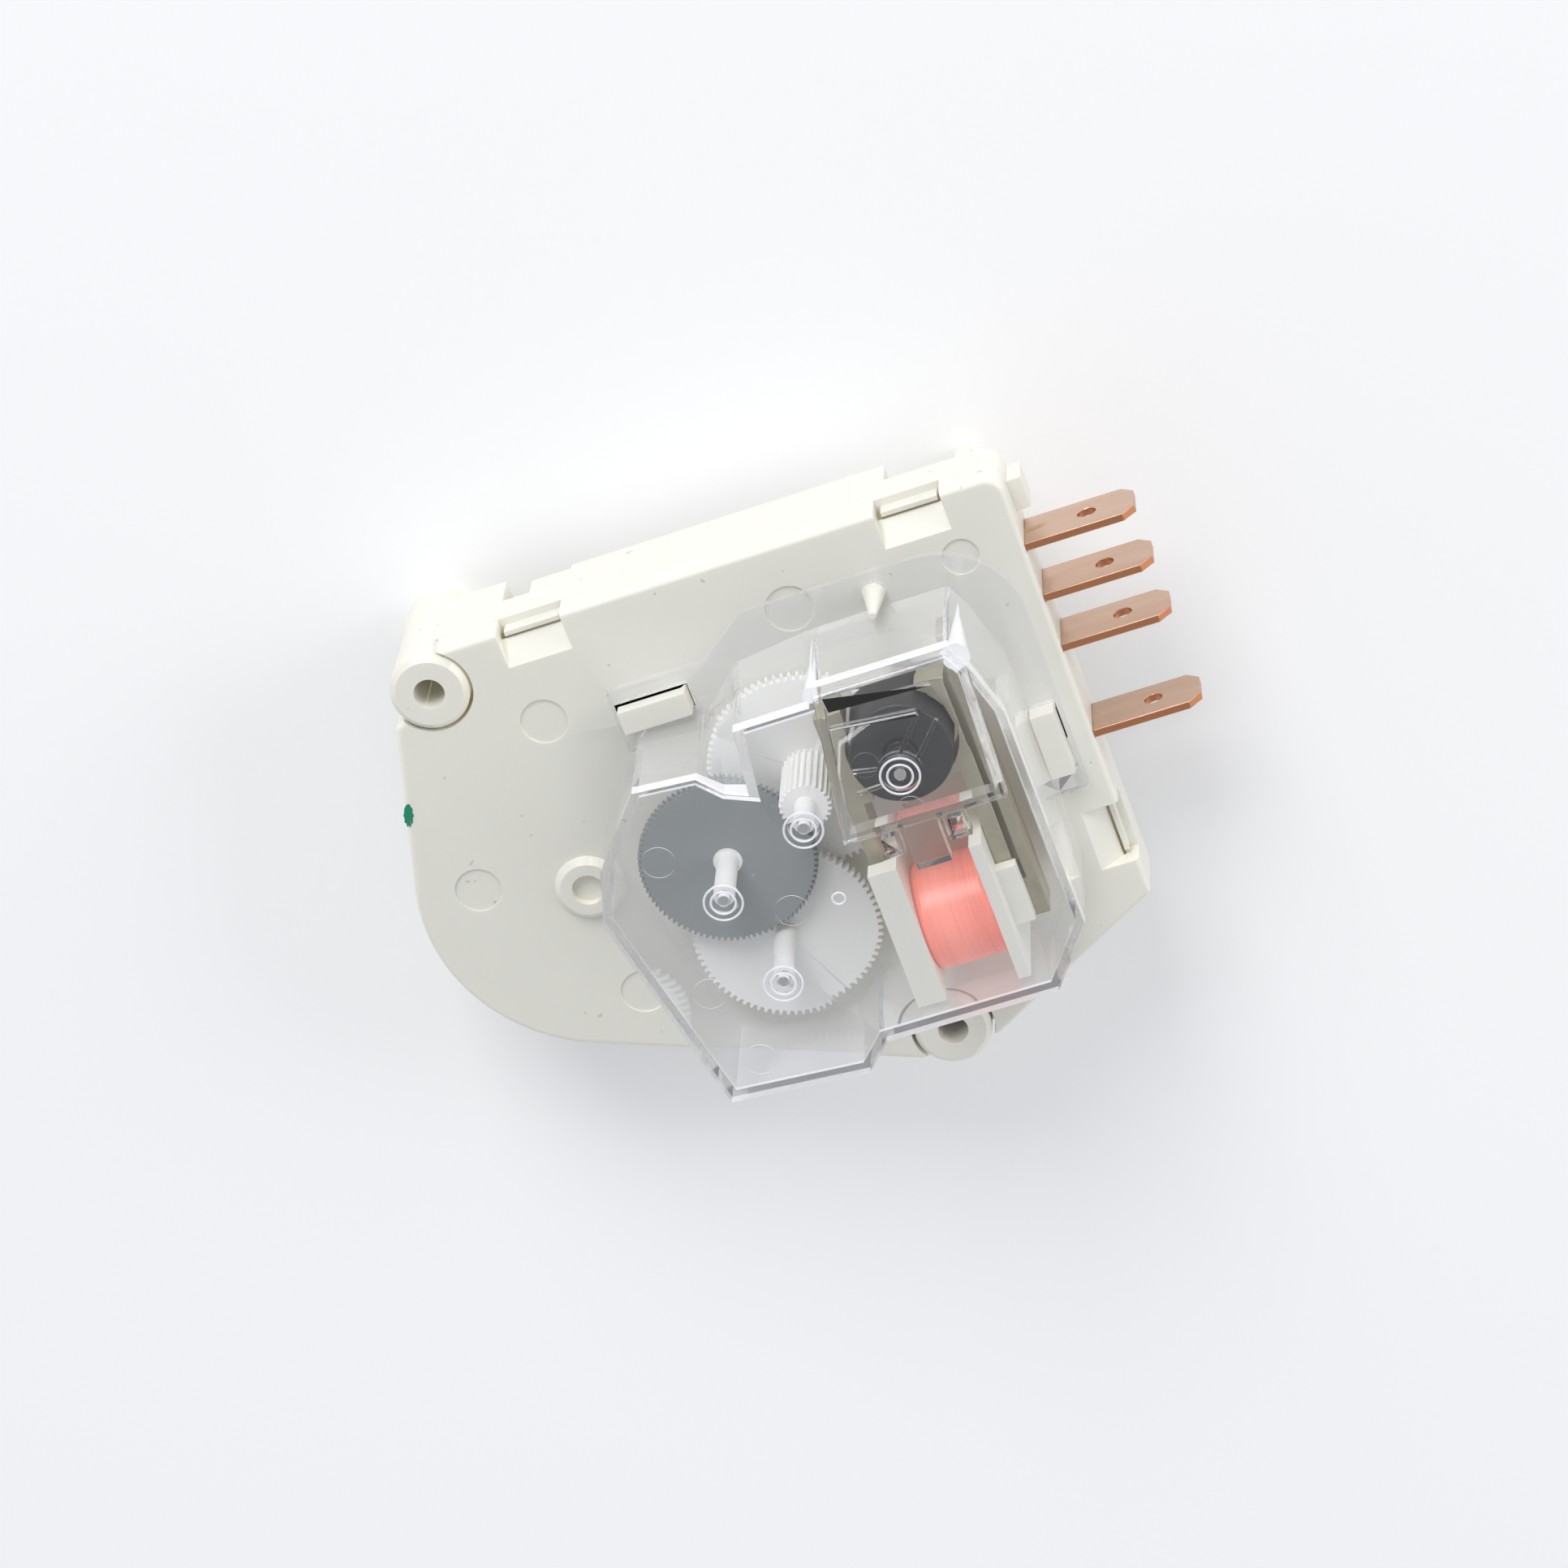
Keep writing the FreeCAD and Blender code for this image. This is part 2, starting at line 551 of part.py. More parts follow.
def make_back_case():
    """The moulded case behind the gear plate, with posts, switch chamber and locating peg."""
    body = new_body("back_case")
    rear = size("case_rear")
    wall = size("case_wall")
    housing_shell(body, rear, seam)
    chamfer_edges(body, "rear_edge", size("edge_round"), level_at(rear))
    block = size("block_rear")
    box_pad(body, "switch_chamber", (size("block_left"), size("block_low"), block),
            (size("block_right"), size("top_edge"), case_inner))
    chamfer_edges(body, "chamber_edge", size("edge_round"), level_at(block))
    web_low = size("top_edge") - size("web_thick")
    box_pad(body, "post_web", (zero, web_low, size("web_rear")),
            (size("web_end"), size("top_edge"), case_inner))
    box_pad(body, "chamber_step", (size("step_left"), web_low, size("step_rear")),
            (size("block_left") + wall, size("top_edge"), case_inner))
    round_pad(body, "shaft_collar", cam_place[0], cam_place[1], size("collar_rad"),
              block - size("collar_out"), block_inner)
    box_pad(body, "side_lug",
            (size("right_edge") - wall, size("lug_top") - size("lug_long"), case_inner),
            (size("right_edge") + size("lug_out"), size("lug_top"), seam))
    hollow = new_sketch(body, "hollow", seam)
    draw_polygon(hollow, inset(outline, wall), outline_rounds(wall))
    cut_pocket(body, "cavity", hollow, seam - case_inner)
    box_pocket(body, "chamber_cavity",
               (size("block_left") + wall, size("block_low") + wall, block_inner),
               (size("block_right") - wall, size("top_edge") - wall, seam))
    round_pad(body, "axle_pillar", axle_three[0], axle_three[1], size("pillar_rad"),
              block_inner - size("case_floor") * 0.5, size("cam_low") + size("cam_thick"))
    for name, (x, y) in (("upper", (zero, zero)), ("lower", post_low)):
        round_pad(body, "post_" + name, x, y, size("post_rad"), zero,
                  front + size("post_proud"))
    chamfer_edges(body, "post_rim", size("post_round"), level_at(front + size("post_proud")))
    for name, (x, y) in (("upper", (zero, zero)), ("lower", post_low)):
        round_pocket(body, "screw_hole_" + name, x, y, size("post_hole"), zero,
                     front + size("post_proud"))
    round_pocket(body, "shaft_hole", cam_place[0], cam_place[1],
                 size("shaft_rad") + size("run_gap"), zero, block_inner)
    round_pocket(body, "axle_hole", axle_three[0], axle_three[1],
                 size("pin_rad") + size("pin_slack"), block_inner,
                 size("cam_low") + size("cam_thick"))
    peg = body.newObject("PartDesign::AdditiveCone", "locating_peg")
    plane = [p for p in body.Origin.OriginFeatures if p.Role == "XY_Plane"][0]
    peg.AttachmentSupport = [(plane, "")]
    peg.MapMode = "FlatFace"
    peg.setExpression("AttachmentOffset.Base.x", size("peg_x").text)
    peg.setExpression("AttachmentOffset.Base.y", size("peg_y").text)
    peg.setExpression("Radius1", size("peg_tip").text)
    peg.setExpression("Radius2", size("peg_base").text)
    peg.setExpression("Height", (rear + size("case_floor") * 0.5).text)
    doc.recompute()
    tab_slots(body, tab_low - size("tab_slack"), seam)
    for name, (low, high) in latch_windows().items():
        inner = size("latch_slit")
        if name == "side":
            box_pad(body, "latch_" + name,
                    (high[0] - inner - size("latch_tongue"), low[1] + size("sink"), case_inner),
                    (high[0] - inner, high[1] - size("sink"), seam + size("rim_deep") * 0.5))
        else:
            box_pad(body, "latch_" + name,
                    (low[0] + size("sink"), high[1] - inner - size("latch_tongue"), case_inner),
                    (high[0] - size("sink"), high[1] - inner, seam + size("rim_deep") * 0.5))
    return body


def wedge_pocket(body, name, low, high, along_x):
    """Cuts a latch window: a ramp that falls towards the edge and a slit down to the seam."""
    drop = size("latch_drop")
    slit = size("latch_slit") + size("latch_tongue") + size("touch_gap")
    if along_x:
        sketch = new_sketch(body, name + "_ramp", high[0], "YZ_Plane")
        edge, inner = high[1], low[1]
        length = high[0] - low[0]
    else:
        sketch = new_sketch(body, name + "_ramp", zero - low[1], "XZ_Plane")
        edge, inner = high[0], low[0]
        length = high[1] - low[1]
    beyond = size("edge_round")
    draw_polygon(sketch, [
        (inner, front), (edge - slit, front - drop), (edge - slit, seam), (edge + beyond, seam),
        (edge + beyond, front + beyond), (inner, front + beyond)])
    cut_pocket(body, name, sketch, length, forward=False)


def make_gear_plate():
    """The plate that carries the gears and the motor, with its rim over the case."""
    body = new_body("gear_plate")
    housing_shell(body, seam, front)
    places = [flap, tail, side_end]
    round_edges(body, "small_rounding", size("edge_round"), upright_at(*places))
    round_edges(body, "front_rounding", size("edge_round"), level_at(front))
    hollow = new_sketch(body, "hollow", plate_back)
    draw_polygon(hollow, inset(outline, size("rim_wall")), outline_rounds(size("rim_wall")))
    cut_pocket(body, "cavity", hollow, plate_back - seam)
    for name, (x, y) in (("upper", (zero, zero)), ("lower", post_low)):
        round_pocket(body, "post_notch_" + name, x, y, size("post_rad") + size("post_gap"),
                     seam, front)
    tab_slots(body, seam, tab_top + size("tab_slack"))
    for name, (low, high) in latch_windows().items():
        wedge_pocket(body, "latch_window_" + name, low, high, name != "side")
    marks = [(9.8, -6.8, "mark_rad"), (-3.7, -22.7, "mark_rad"), (55.6, -3.2, "mark_small"),
             (37.6, -3.0, "mark_rad"), (8.3, -39.4, "mark_rad")]
    for number, (x, y, radius) in enumerate(marks, 1):
        round_pocket(body, "ejector_mark_%d" % number, as_size(x), as_size(y), size(radius),
                     front - size("mark_deep"), front)
    ring = (size("ring_x"), size("ring_y"))
    round_pad(body, "ring_boss", ring[0], ring[1], size("ring_rad"), plate_back,
              front + size("ring_high"))
    chamfer_edges(body, "ring_rim", size("post_round"), level_at(front + size("ring_high")))
    round_pocket(body, "ring_middle", ring[0], ring[1], size("ring_hole"),
                 front, front + size("ring_high"))
    boss_top = front + size("wheel_a") - size("side_gap") * 3
    for name, (x, y) in (("first", axle_one), ("second", axle_two), ("rotor", rotor_place)):
        round_pad(body, "axle_boss_" + name, x, y, size("pillar_rad"),
                  plate_back, boss_top)
        round_pocket(body, "axle_hole_" + name, x, y, size("pin_rad") + size("pin_slack"),
                     front - size("pin_in"), boss_top)
    pinion_room = size("mod_four") * (TEETH["pinion_c"] * 0.5 + 1) + size("pin_rad")
    round_pocket(body, "pinion_hole", axle_three[0], axle_three[1], pinion_room,
                 plate_back, front)
    journal = new_sketch(body, "journal_outline", plate_back)
    draw_circle(journal, cam_place[0], cam_place[1], size("journal_rad") + size("run_gap"))
    cut_pocket(body, "journal_hole", journal, size("journal_in") + size("side_gap"),
               forward=True)
    hook = size("hook_out")
    hook_top = front + size("flange_deep") + size("hook_high")
    box_pad(body, "cover_hook_one", (size("hook_one_x"), size("hook_one_y") - hook, plate_back),
            (size("hook_one_x") + size("hook_long"), size("hook_one_y"), hook_top))
    box_pad(body, "cover_hook_two",
            (size("hook_two_x"), size("hook_two_y") - size("hook_long"), plate_back),
            (size("hook_two_x") + hook, size("hook_two_y"), hook_top))
    cone = body.newObject("PartDesign::AdditiveCone", "locating_cone")
    plane = [p for p in body.Origin.OriginFeatures if p.Role == "XY_Plane"][0]
    cone.AttachmentSupport = [(plane, "")]
    cone.MapMode = "FlatFace"
    cone.setExpression("AttachmentOffset.Base.x", size("cone_x").text)
    cone.setExpression("AttachmentOffset.Base.y", size("cone_y").text)
    cone.setExpression("AttachmentOffset.Base.z", (front - size("sink")).text)
    cone.setExpression("Radius1", size("cone_rad").text)
    cone.setExpression("Radius2", size("cone_tip").text)
    cone.setExpression("Height", size("cone_high").text)
    doc.recompute()
    box_pad(body, "motor_rail", (size("rail_x"), size("rail_low"), plate_back),
            (size("rail_x") + size("rail_thick"), size("rail_top"), front + size("rail_high")))
    lead_holes = size("lead_rad") + size("pin_slack")
    for number, (x, y) in enumerate(lead_places(), 1):
        round_pocket(body, "lead_hole_%d" % number, x, y, lead_holes, plate_back, front)
    return body


def lead_places():
    """Where the two coil pins pass through the plate, under the bobbin's feet."""
    y = size("coil_y") - size("flange_down") + size("flange_thick")
    reach = size("coil_half") + size("flange_thick") * 0.5
    return [(size("coil_x") - reach, y), (size("coil_x") + reach, y)]


def reach_of(teeth, module):
    """Radius of a wheel at the tips of its teeth."""
    return module * (TEETH[teeth] * 0.5 + 1)


def polar(place, reach, degrees):
    """A point at a distance and a direction from a place."""
    turn = as_size(degrees)
    return (place[0] + reach * turn.cosine(), place[1] + reach * turn.sine())


def from_rotor(x, y):
    """A point at a distance along and a distance up from the rotor's axis."""
    return (rotor_place[0] + x, rotor_place[1] + y)


def cover_corners(high_notch):
    """The clear cover's outline round its wheels, anticlockwise from the grey gear's upper side.

    Each corner keeps a margin to the wheel that it goes round. The walls of the notch over the
    second gear stand further in at the cover's face than at the plate.
    """
    grey, third = reach_of("wheel_b", size("mod_two")), reach_of("wheel_c", size("mod_three"))
    second = reach_of("wheel_a", size("mod_one"))
    corners = [polar(axle_one, grey + margin, turn)
               for margin, turn in ((5.8, 106.8), (3.4, 145.8), (3.1, 173.5))]
    corners += [polar(axle_three, third + margin, turn)
                for margin, turn in ((5.0, 229.5), (3.5, 291.1), (2.4, 308.4))]
    corners += [from_rotor(x, y) for x, y in (
        (6.7, -28.8), (11.6, -22.4), (11.5, 2.4), (9.7, 8.4), (8.5, 10.9), (-5.3, 10.9))]
    if high_notch:
        corners.append(from_rotor(-6.3, 8.9))
        notch = ((2.1, 103.0), (-4.1, 125.3), (-2.0, 133.3), (1.3, 133.1))
    else:
        corners.append(from_rotor(-6.5, 10.9))
        notch = ((3.1, 103.2), (2.4, 110.9), (1.6, 121.1), (1.4, 131.3))
    return corners + [polar(axle_two, second + margin, turn) for margin, turn in notch]


def flange_corners():
    """The outline of the cover's flange, from the gears' side to the terminal side."""
    return [from_rotor(x, y) for x, y in (
        (-27.9, 11.0), (-27.9, 0.4), (-4.9, -3.6), (10.1, -14.6), (15.1, -14.6), (15.1, 14.9),
        (-11.9, 14.9), (-17.3, 11.0))]


def chamber_corners():
    """The outline of the raised chamber over the rotor."""
    return [from_rotor(x, y) for x, y in (
        (-5.3, 10.9), (-7.9, -5.7), (9.1, -5.7), (9.7, 8.4), (8.5, 10.9))]


def loft(body, name, kind, lower, upper):
    """Adds or cuts a box whose outline changes evenly from one height to another."""
    sketches = []
    for end, (height, points) in (("lower", lower), ("upper", upper)):
        sketch = new_sketch(body, "%s_%s_outline" % (name, end), height)
        draw_polygon(sketch, points)
        sketches.append(sketch)
    feature = body.newObject(kind, name)
    feature.Profile = sketches[0]
    feature.Sections = [sketches[1]]
    feature.Ruled = True
    doc.recompute()
    return feature


def add_seat(body, name, place, face):
    """A bearing seat behind a face of the cover, with the hole for an axle's end."""
    depth = face - size("seat_in")
    round_pad(body, "seat_" + name, place[0], place[1], size("seat_rad"), depth, face)
    seat = new_sketch(body, "seat_hole_outline_" + name, depth)
    draw_circle(seat, place[0], place[1], size("pin_rad") + size("pin_slack"))
    cut_pocket(body, "seat_hole_" + name, seat, size("seat_deep"), forward=True)


def add_rib(body, name, start, end, face):
    """A straight rib under a face of the cover."""
    along = Vector(end[0].value - start[0].value, end[1].value - start[1].value, 0)
    along.normalize()
    shift_x = size("rib_wide") * (-along.y * 0.5)
    shift_y = size("rib_wide") * (along.x * 0.5)
    sketch = new_sketch(body, name + "_outline", face - size("rib_deep"))
    draw_polygon(sketch, [
        (start[0] - shift_x, start[1] - shift_y), (end[0] - shift_x, end[1] - shift_y),
        (end[0] + shift_x, end[1] + shift_y), (start[0] + shift_x, start[1] + shift_y)])
    add_pad(body, name, sketch, size("rib_deep") + size("rib_wide"))


def add_chamber_details(body, top, chamber):
    """Ribs under the chamber's face, its two hollow feet and the tongue between them."""
    under = chamber - size("cover_wall")
    ring = new_sketch(body, "ring_rib_outline", under - size("rib_deep"))
    draw_circle(ring, rotor_place[0], rotor_place[1], size("ring_rib") + size("rib_wide"))
    draw_circle(ring, rotor_place[0], rotor_place[1], size("ring_rib"))
    add_pad(body, "ring_rib", ring, size("rib_deep") + size("rib_wide"))
    ribs = (((0.8, 2.1), (3.6, 5.4)), ((2.1, 0.9), (5.2, 4.3)), ((-4.4, 1.5), (-1.9, 1.0)),
            ((-4.7, -0.9), (-1.9, -0.8)), ((-4.4, 8.6), (5.9, 8.2)), ((-4.9, 6.7), (3.6, 5.8)))
    for number, (start, end) in enumerate(ribs, 1):
        add_rib(body, "rib_%d" % number, from_rotor(*start), from_rotor(*end), under)
    side, wall = size("foot_wide"), size("foot_wall")
    low = chamber_corners()[1][1]
    for name, left in (("left", -4.6), ("right", 2.3)):
        x = rotor_place[0] + left
        box_pad(body, "foot_" + name, (x, low - side - wall, top - wall),
                (x + side, low + wall, chamber - wall))
        box_pocket(body, "foot_hollow_" + name, (x + wall, low - side, top - wall),
                   (x + side - wall, low - wall, chamber - wall))
    tongue = rotor_place[0] - size("tongue_wide") * 0.5
    box_pad(body, "tongue", (tongue, low - size("tongue_long"), top - wall),
            (tongue + size("tongue_wide"), low + wall, chamber - wall))


def add_circles(body, top, chamber):
    """The flat rounds that the mould's ejector pins left behind the cover's faces."""
    marks = [polar(axle_one, as_size(7.6), 128.0), polar(axle_one, as_size(6.9), 331.0),
             polar(axle_three, as_size(7.6), 173.0), polar(axle_three, as_size(9.5), 236.0)]
    deep = size("circle_deep")
    under = top - size("cover_wall")
    for number, (x, y) in enumerate(marks, 1):
        round_pad(body, "circle_%d" % number, x, y, size("circle_rad"), under - deep, under)
    under = chamber - size("cover_wall")
    for number, place in enumerate((from_rotor(-2.9, 1.9), from_rotor(-0.3, -4.0)), 1):
        round_pad(body, "chamber_circle_%d" % number, place[0], place[1],
                  size("circle_rad") - size("rib_wide"), under - deep, under)


def make_clear_cover():
    """The clear moulded cover over the gears, with a raised chamber over the motor."""
    body = new_body("clear_cover")
    top = front + size("cover_top")
    chamber = front + size("chamber_top")
    wall = size("cover_wall")
    base = inset(cover_corners(False), zero - size("cover_draft"))
    face = cover_corners(True)
    flange = new_sketch(body, "flange_outline", front)
    draw_polygon(flange, flange_corners())
    add_pad(body, "flange", flange, size("flange_deep"))
    round_edges(body, "flange_rounding", size("flange_round"), upright_at(flange_corners()[5]))
    loft(body, "box", "PartDesign::AdditiveLoft", (front, base), (top, face))
    raised = new_sketch(body, "chamber_outline", top - wall)
    draw_polygon(raised, chamber_corners())
    add_pad(body, "chamber", raised, chamber - top + wall)
    round_edges(body, "chamber_rounding", size("cover_round"), level_at(chamber))
    loft(body, "box_cavity", "PartDesign::SubtractiveLoft",
         (front, inset(base, wall)), (top - wall, inset(face, wall)))
    raised_hollow = new_sketch(body, "chamber_hollow", top - wall * 2)
    draw_polygon(raised_hollow, inset(chamber_corners(), wall))
    cut_pocket(body, "chamber_cavity", raised_hollow, chamber - top + wall, forward=True)
    for name, place in (("first", axle_one), ("second", axle_two), ("third", axle_three)):
        add_seat(body, name, place, top)
    add_seat(body, "rotor", rotor_place, chamber)
    add_chamber_details(body, top, chamber)
    add_circles(body, top, chamber)
    slack = size("hook_slack")
    hook = size("hook_out")
    flange_top = front + size("flange_deep")
    box_pocket(body, "hook_window_one",
               (size("hook_one_x") - slack, size("hook_one_y") - hook - slack, front),
               (size("hook_one_x") + size("hook_long") + slack, size("hook_one_y") + slack,
                flange_top))
    box_pocket(body, "hook_window_two",
               (size("hook_two_x") - slack,
                size("hook_two_y") - size("hook_long") - slack, front),
               (size("hook_two_x") + hook + slack, size("hook_two_y") + slack, flange_top))
    round_pocket(body, "cone_hole", size("cone_x"), size("cone_y"),
                 size("cone_rad") + size("side_gap"), front, flange_top)
    return body


def make_terminal(name):
    """A quick-connect tab with its leg inside the case."""
    body = new_body("terminal_" + name)
    y = tabs[name]
    half = size("tab_thick") * 0.5
    inner = size("right_edge") - size("leg_in")
    wall = size("right_edge") - size("case_wall")
    end = size("right_edge") + size("tab_out")
    tip = size("tab_tip")
    leg_top = tab_low + size("leg_high")
    sketch = new_sketch(body, "tab_outline", zero - y - half, "XZ_Plane")
    draw_polygon(sketch, [
        (inner, tab_low), (end - tip, tab_low), (end, tab_low + tip), (end, tab_top - tip),
        (end - tip, tab_top), (wall, tab_top), (wall, leg_top), (inner, leg_top)])
    add_pad(body, "tab", sketch, size("tab_thick"))
    hole = new_sketch(body, "hole_outline", zero - y - half, "XZ_Plane")
    draw_circle(hole, end - size("tab_hole_in"), (tab_low + tab_top) * 0.5, size("tab_hole"))
    cut_pocket(body, "locking_hole", hole, size("tab_thick"), forward=True)
    return body


blade_y = tabs["two"]
blade_low = tab_low + size("side_gap") * 2
blade_mid = blade_low + size("spring_high") * 0.5
button_half = size("spring_thick") * 0.5 + size("contact_thick")
upper_face = blade_y + button_half + size("contact_gap")
lower_face = blade_y - button_half - size("touch_gap")


def add_fixed_blade(body, name, face, outward):
    """The bent blade that carries a fixed contact, from a terminal's leg to its free end."""
    y = tabs[name]
    half = size("tab_thick") * 0.5
    inner = size("right_edge") - size("leg_in")
    bend = size("blade_bend")
    near = face + size("contact_thick") * outward
    middle = near + half * outward
    high, low = middle + half, middle - half
    sketch = new_sketch(body, "blade_outline", tab_low)
    draw_polygon(sketch, [
        (inner, y + half), (bend, high), (size("blade_end"), high), (size("blade_end"), low),
        (bend, low), (inner, y - half)])
    add_pad(body, "blade", sketch, size("leg_high"))


def add_button(body, name, low_y, radius, thick):
    """Adds a round disc with its axis across the blades."""
    sketch = new_sketch(body, name + "_outline", zero - low_y - thick, "XZ_Plane")
    draw_circle(sketch, size("contact_x"), blade_mid, radius)
    add_pad(body, name, sketch, thick)


def make_contact(label, low_y):
    """A contact button on the end of a fixed blade."""
    body = new_body(label)
    add_button(body, "button", low_y, size("contact_rad"), size("contact_thick"))
    return body


def make_moving_contact():
    """The contact rivet of the moving blade, with a head on each side of it."""
    body = new_body("moving_contact")
    half = size("spring_thick") * 0.5
    head = size("contact_thick")
    add_button(body, "lower_head", blade_y - half - head, size("contact_rad"), head)
    add_button(body, "shank", blade_y - half, size("rivet_rad"), half * 2)
    add_button(body, "upper_head", blade_y + half, size("contact_rad"), head)
    return body




def make_moving_blade():
    """The spring blade that swings between the two fixed contacts."""
    body = new_body("moving_blade")
    half = size("spring_thick") * 0.5
    root = size("right_edge") - size("leg_in") - size("touch_gap")
    box_pad(body, "blade", (size("nose_x") - size("nose_wide") * 0.5, blade_y - half, blade_low),
            (root, blade_y + half, blade_low + size("spring_high")))
    hole = new_sketch(body, "rivet_hole_outline", zero - blade_y - half, "XZ_Plane")
    draw_circle(hole, size("contact_x"), blade_mid, size("rivet_rad") + size("pin_slack"))
    cut_pocket(body, "rivet_hole", hole, half * 2, forward=True)
    return body


def make_cam_follower():
    """The moulded nose that is clipped to the blade's end and rides on the cam."""
    body = new_body("cam_follower")
    wide = size("nose_wide") * 0.5
    nose = size("nose_x")
    reach = size("cam_rad") - size("cam_lift") + size("cam_gap") + size("nose_rad")
    aside = nose - cam_place[0]
    tip_y = cam_place[1] + (reach * reach - aside * aside).root()
    under = blade_y - size("spring_thick") * 0.5
    sketch = new_sketch(body, "outline", blade_low)
    draw_polygon(sketch, [
        (nose - wide, under), (nose - wide, under - size("nose_side")), (nose - size("nose_rad"), tip_y),
        (nose + size("nose_rad"), tip_y), (nose + wide, under - size("nose_side")), (nose + wide, under)])
    add_pad(body, "nose", sketch, size("spring_high"))
    round_pad(body, "tip", nose, tip_y, size("nose_rad"), blade_low,
              blade_low + size("spring_high"))
    return body


def make_cam():
    """The cam with the slotted advance shaft below it and its journal above."""
    body = new_body("cam")
    x, y = cam_place
    low = size("cam_low")
    high = low + size("cam_thick")
    gear_top = high + size("washer_thick") + size("side_gap") * 2 + size("wheel_thick")
    shoulder = block_inner + size("side_gap")
    round_pad(body, "advance_shaft", x, y, size("shaft_rad"), size("shaft_end"),
              low + size("sink"))
    round_pad(body, "shoulder", x, y, size("shoulder_rad"), shoulder,
              shoulder + size("shoulder_thick"))
    base_rad = size("cam_rad") - size("cam_lift")
    round_pad(body, "cam_disc", x, y, base_rad, low, high)
    half = size("lobe_wide") * 0.5
    inside = base_rad - size("cam_lift") * 0.5
    corners = [(inside, zero - half - size("lobe_ramp"))]
    for share in (-1.0, -0.5, 0.0, 0.5, 1.0):
        corners.append((size("cam_rad"), half * share))
    corners.append((inside, half + size("lobe_fall")))
    lobe = new_sketch(body, "lobe_outline", low)
    points = []
    for radius, aside in corners:
        turn = size("lobe_turn") + aside
        points.append((x + radius * turn.cosine(), y + radius * turn.sine()))
    draw_polygon(lobe, points)
    add_pad(body, "lobe", lobe, size("cam_thick"))
    round_pad(body, "spigot", x, y, size("spigot_rad"), high - size("sink"), gear_top)
    round_pad(body, "journal", x, y, size("journal_rad"), gear_top - size("sink"),
              plate_back + size("journal_in"))
    slot = new_sketch(body, "slot_outline", size("shaft_end"))
    half = size("shaft_slot") * 0.5
    reach = size("shaft_rad") + size("sink")
    draw_box(slot, x - half, y - reach, x + half, y + reach)
    cut_pocket(body, "screwdriver_slot", slot, size("slot_deep"), forward=True)
    return body


# A tooth's form: heights in modules, half widths as shares of the pitch
ROOT_DEPTH, TIP_HEIGHT = 1.15, 0.85
ROOT_HALF, TIP_HALF = 0.31, 0.12


def toothed_rim(teeth, module, thick):
    """A toothed disc at the origin with a tooth along +X and a little backlash."""
    pitch_rad = module * teeth / 2
    step = 2 * math.pi / teeth
    root, tip = pitch_rad - ROOT_DEPTH * module, pitch_rad + TIP_HEIGHT * module
    points = []
    for i in range(teeth):
        for radius, share in ((root, -ROOT_HALF), (tip, -TIP_HALF), (tip, TIP_HALF),
                              (root, ROOT_HALF)):
            turn = (i + share) * step
            points.append(Vector(radius * math.cos(turn), radius * math.sin(turn), 0))
    points.append(points[0])
    return Part.Face(Part.makePolygon(points)).extrude(Vector(0, 0, thick))


def gear_piece(label, place, low, parts, bore, top):
    """A moulded gear: toothed rims and round hubs on one axis, with a bore right through."""
    shape = None
    for kind, bottom, high, shaped, turn in parts:
        if kind == "teeth":
            teeth, module = shaped
            solid = toothed_rim(teeth, module, high - bottom)
            solid.rotate(Vector(0, 0, 0), Vector(0, 0, 1), turn)
        else:
            solid = Part.makeCylinder(shaped, high - bottom)
        solid.translate(Vector(0, 0, bottom - low.value))
        shape = solid if shape is None else shape.fuse(solid)
    hole = Part.makeCylinder(bore.value, top.value - low.value + 2, Vector(0, 0, -1))
    piece = doc.addObject("Part::Feature", label)
    piece.Label = label
    piece.Shape = shape.cut(hole).removeSplitter()
    piece.setExpression("Placement.Base.x", place[0].text)
    piece.setExpression("Placement.Base.y", place[1].text)
    piece.setExpression("Placement.Base.z", low.text)
    doc.recompute()
    return piece


def gap_turn(direction, teeth):
    """The turn that sets a gap between two teeth towards the driving gear."""
    return direction + 180 + 180 / teeth


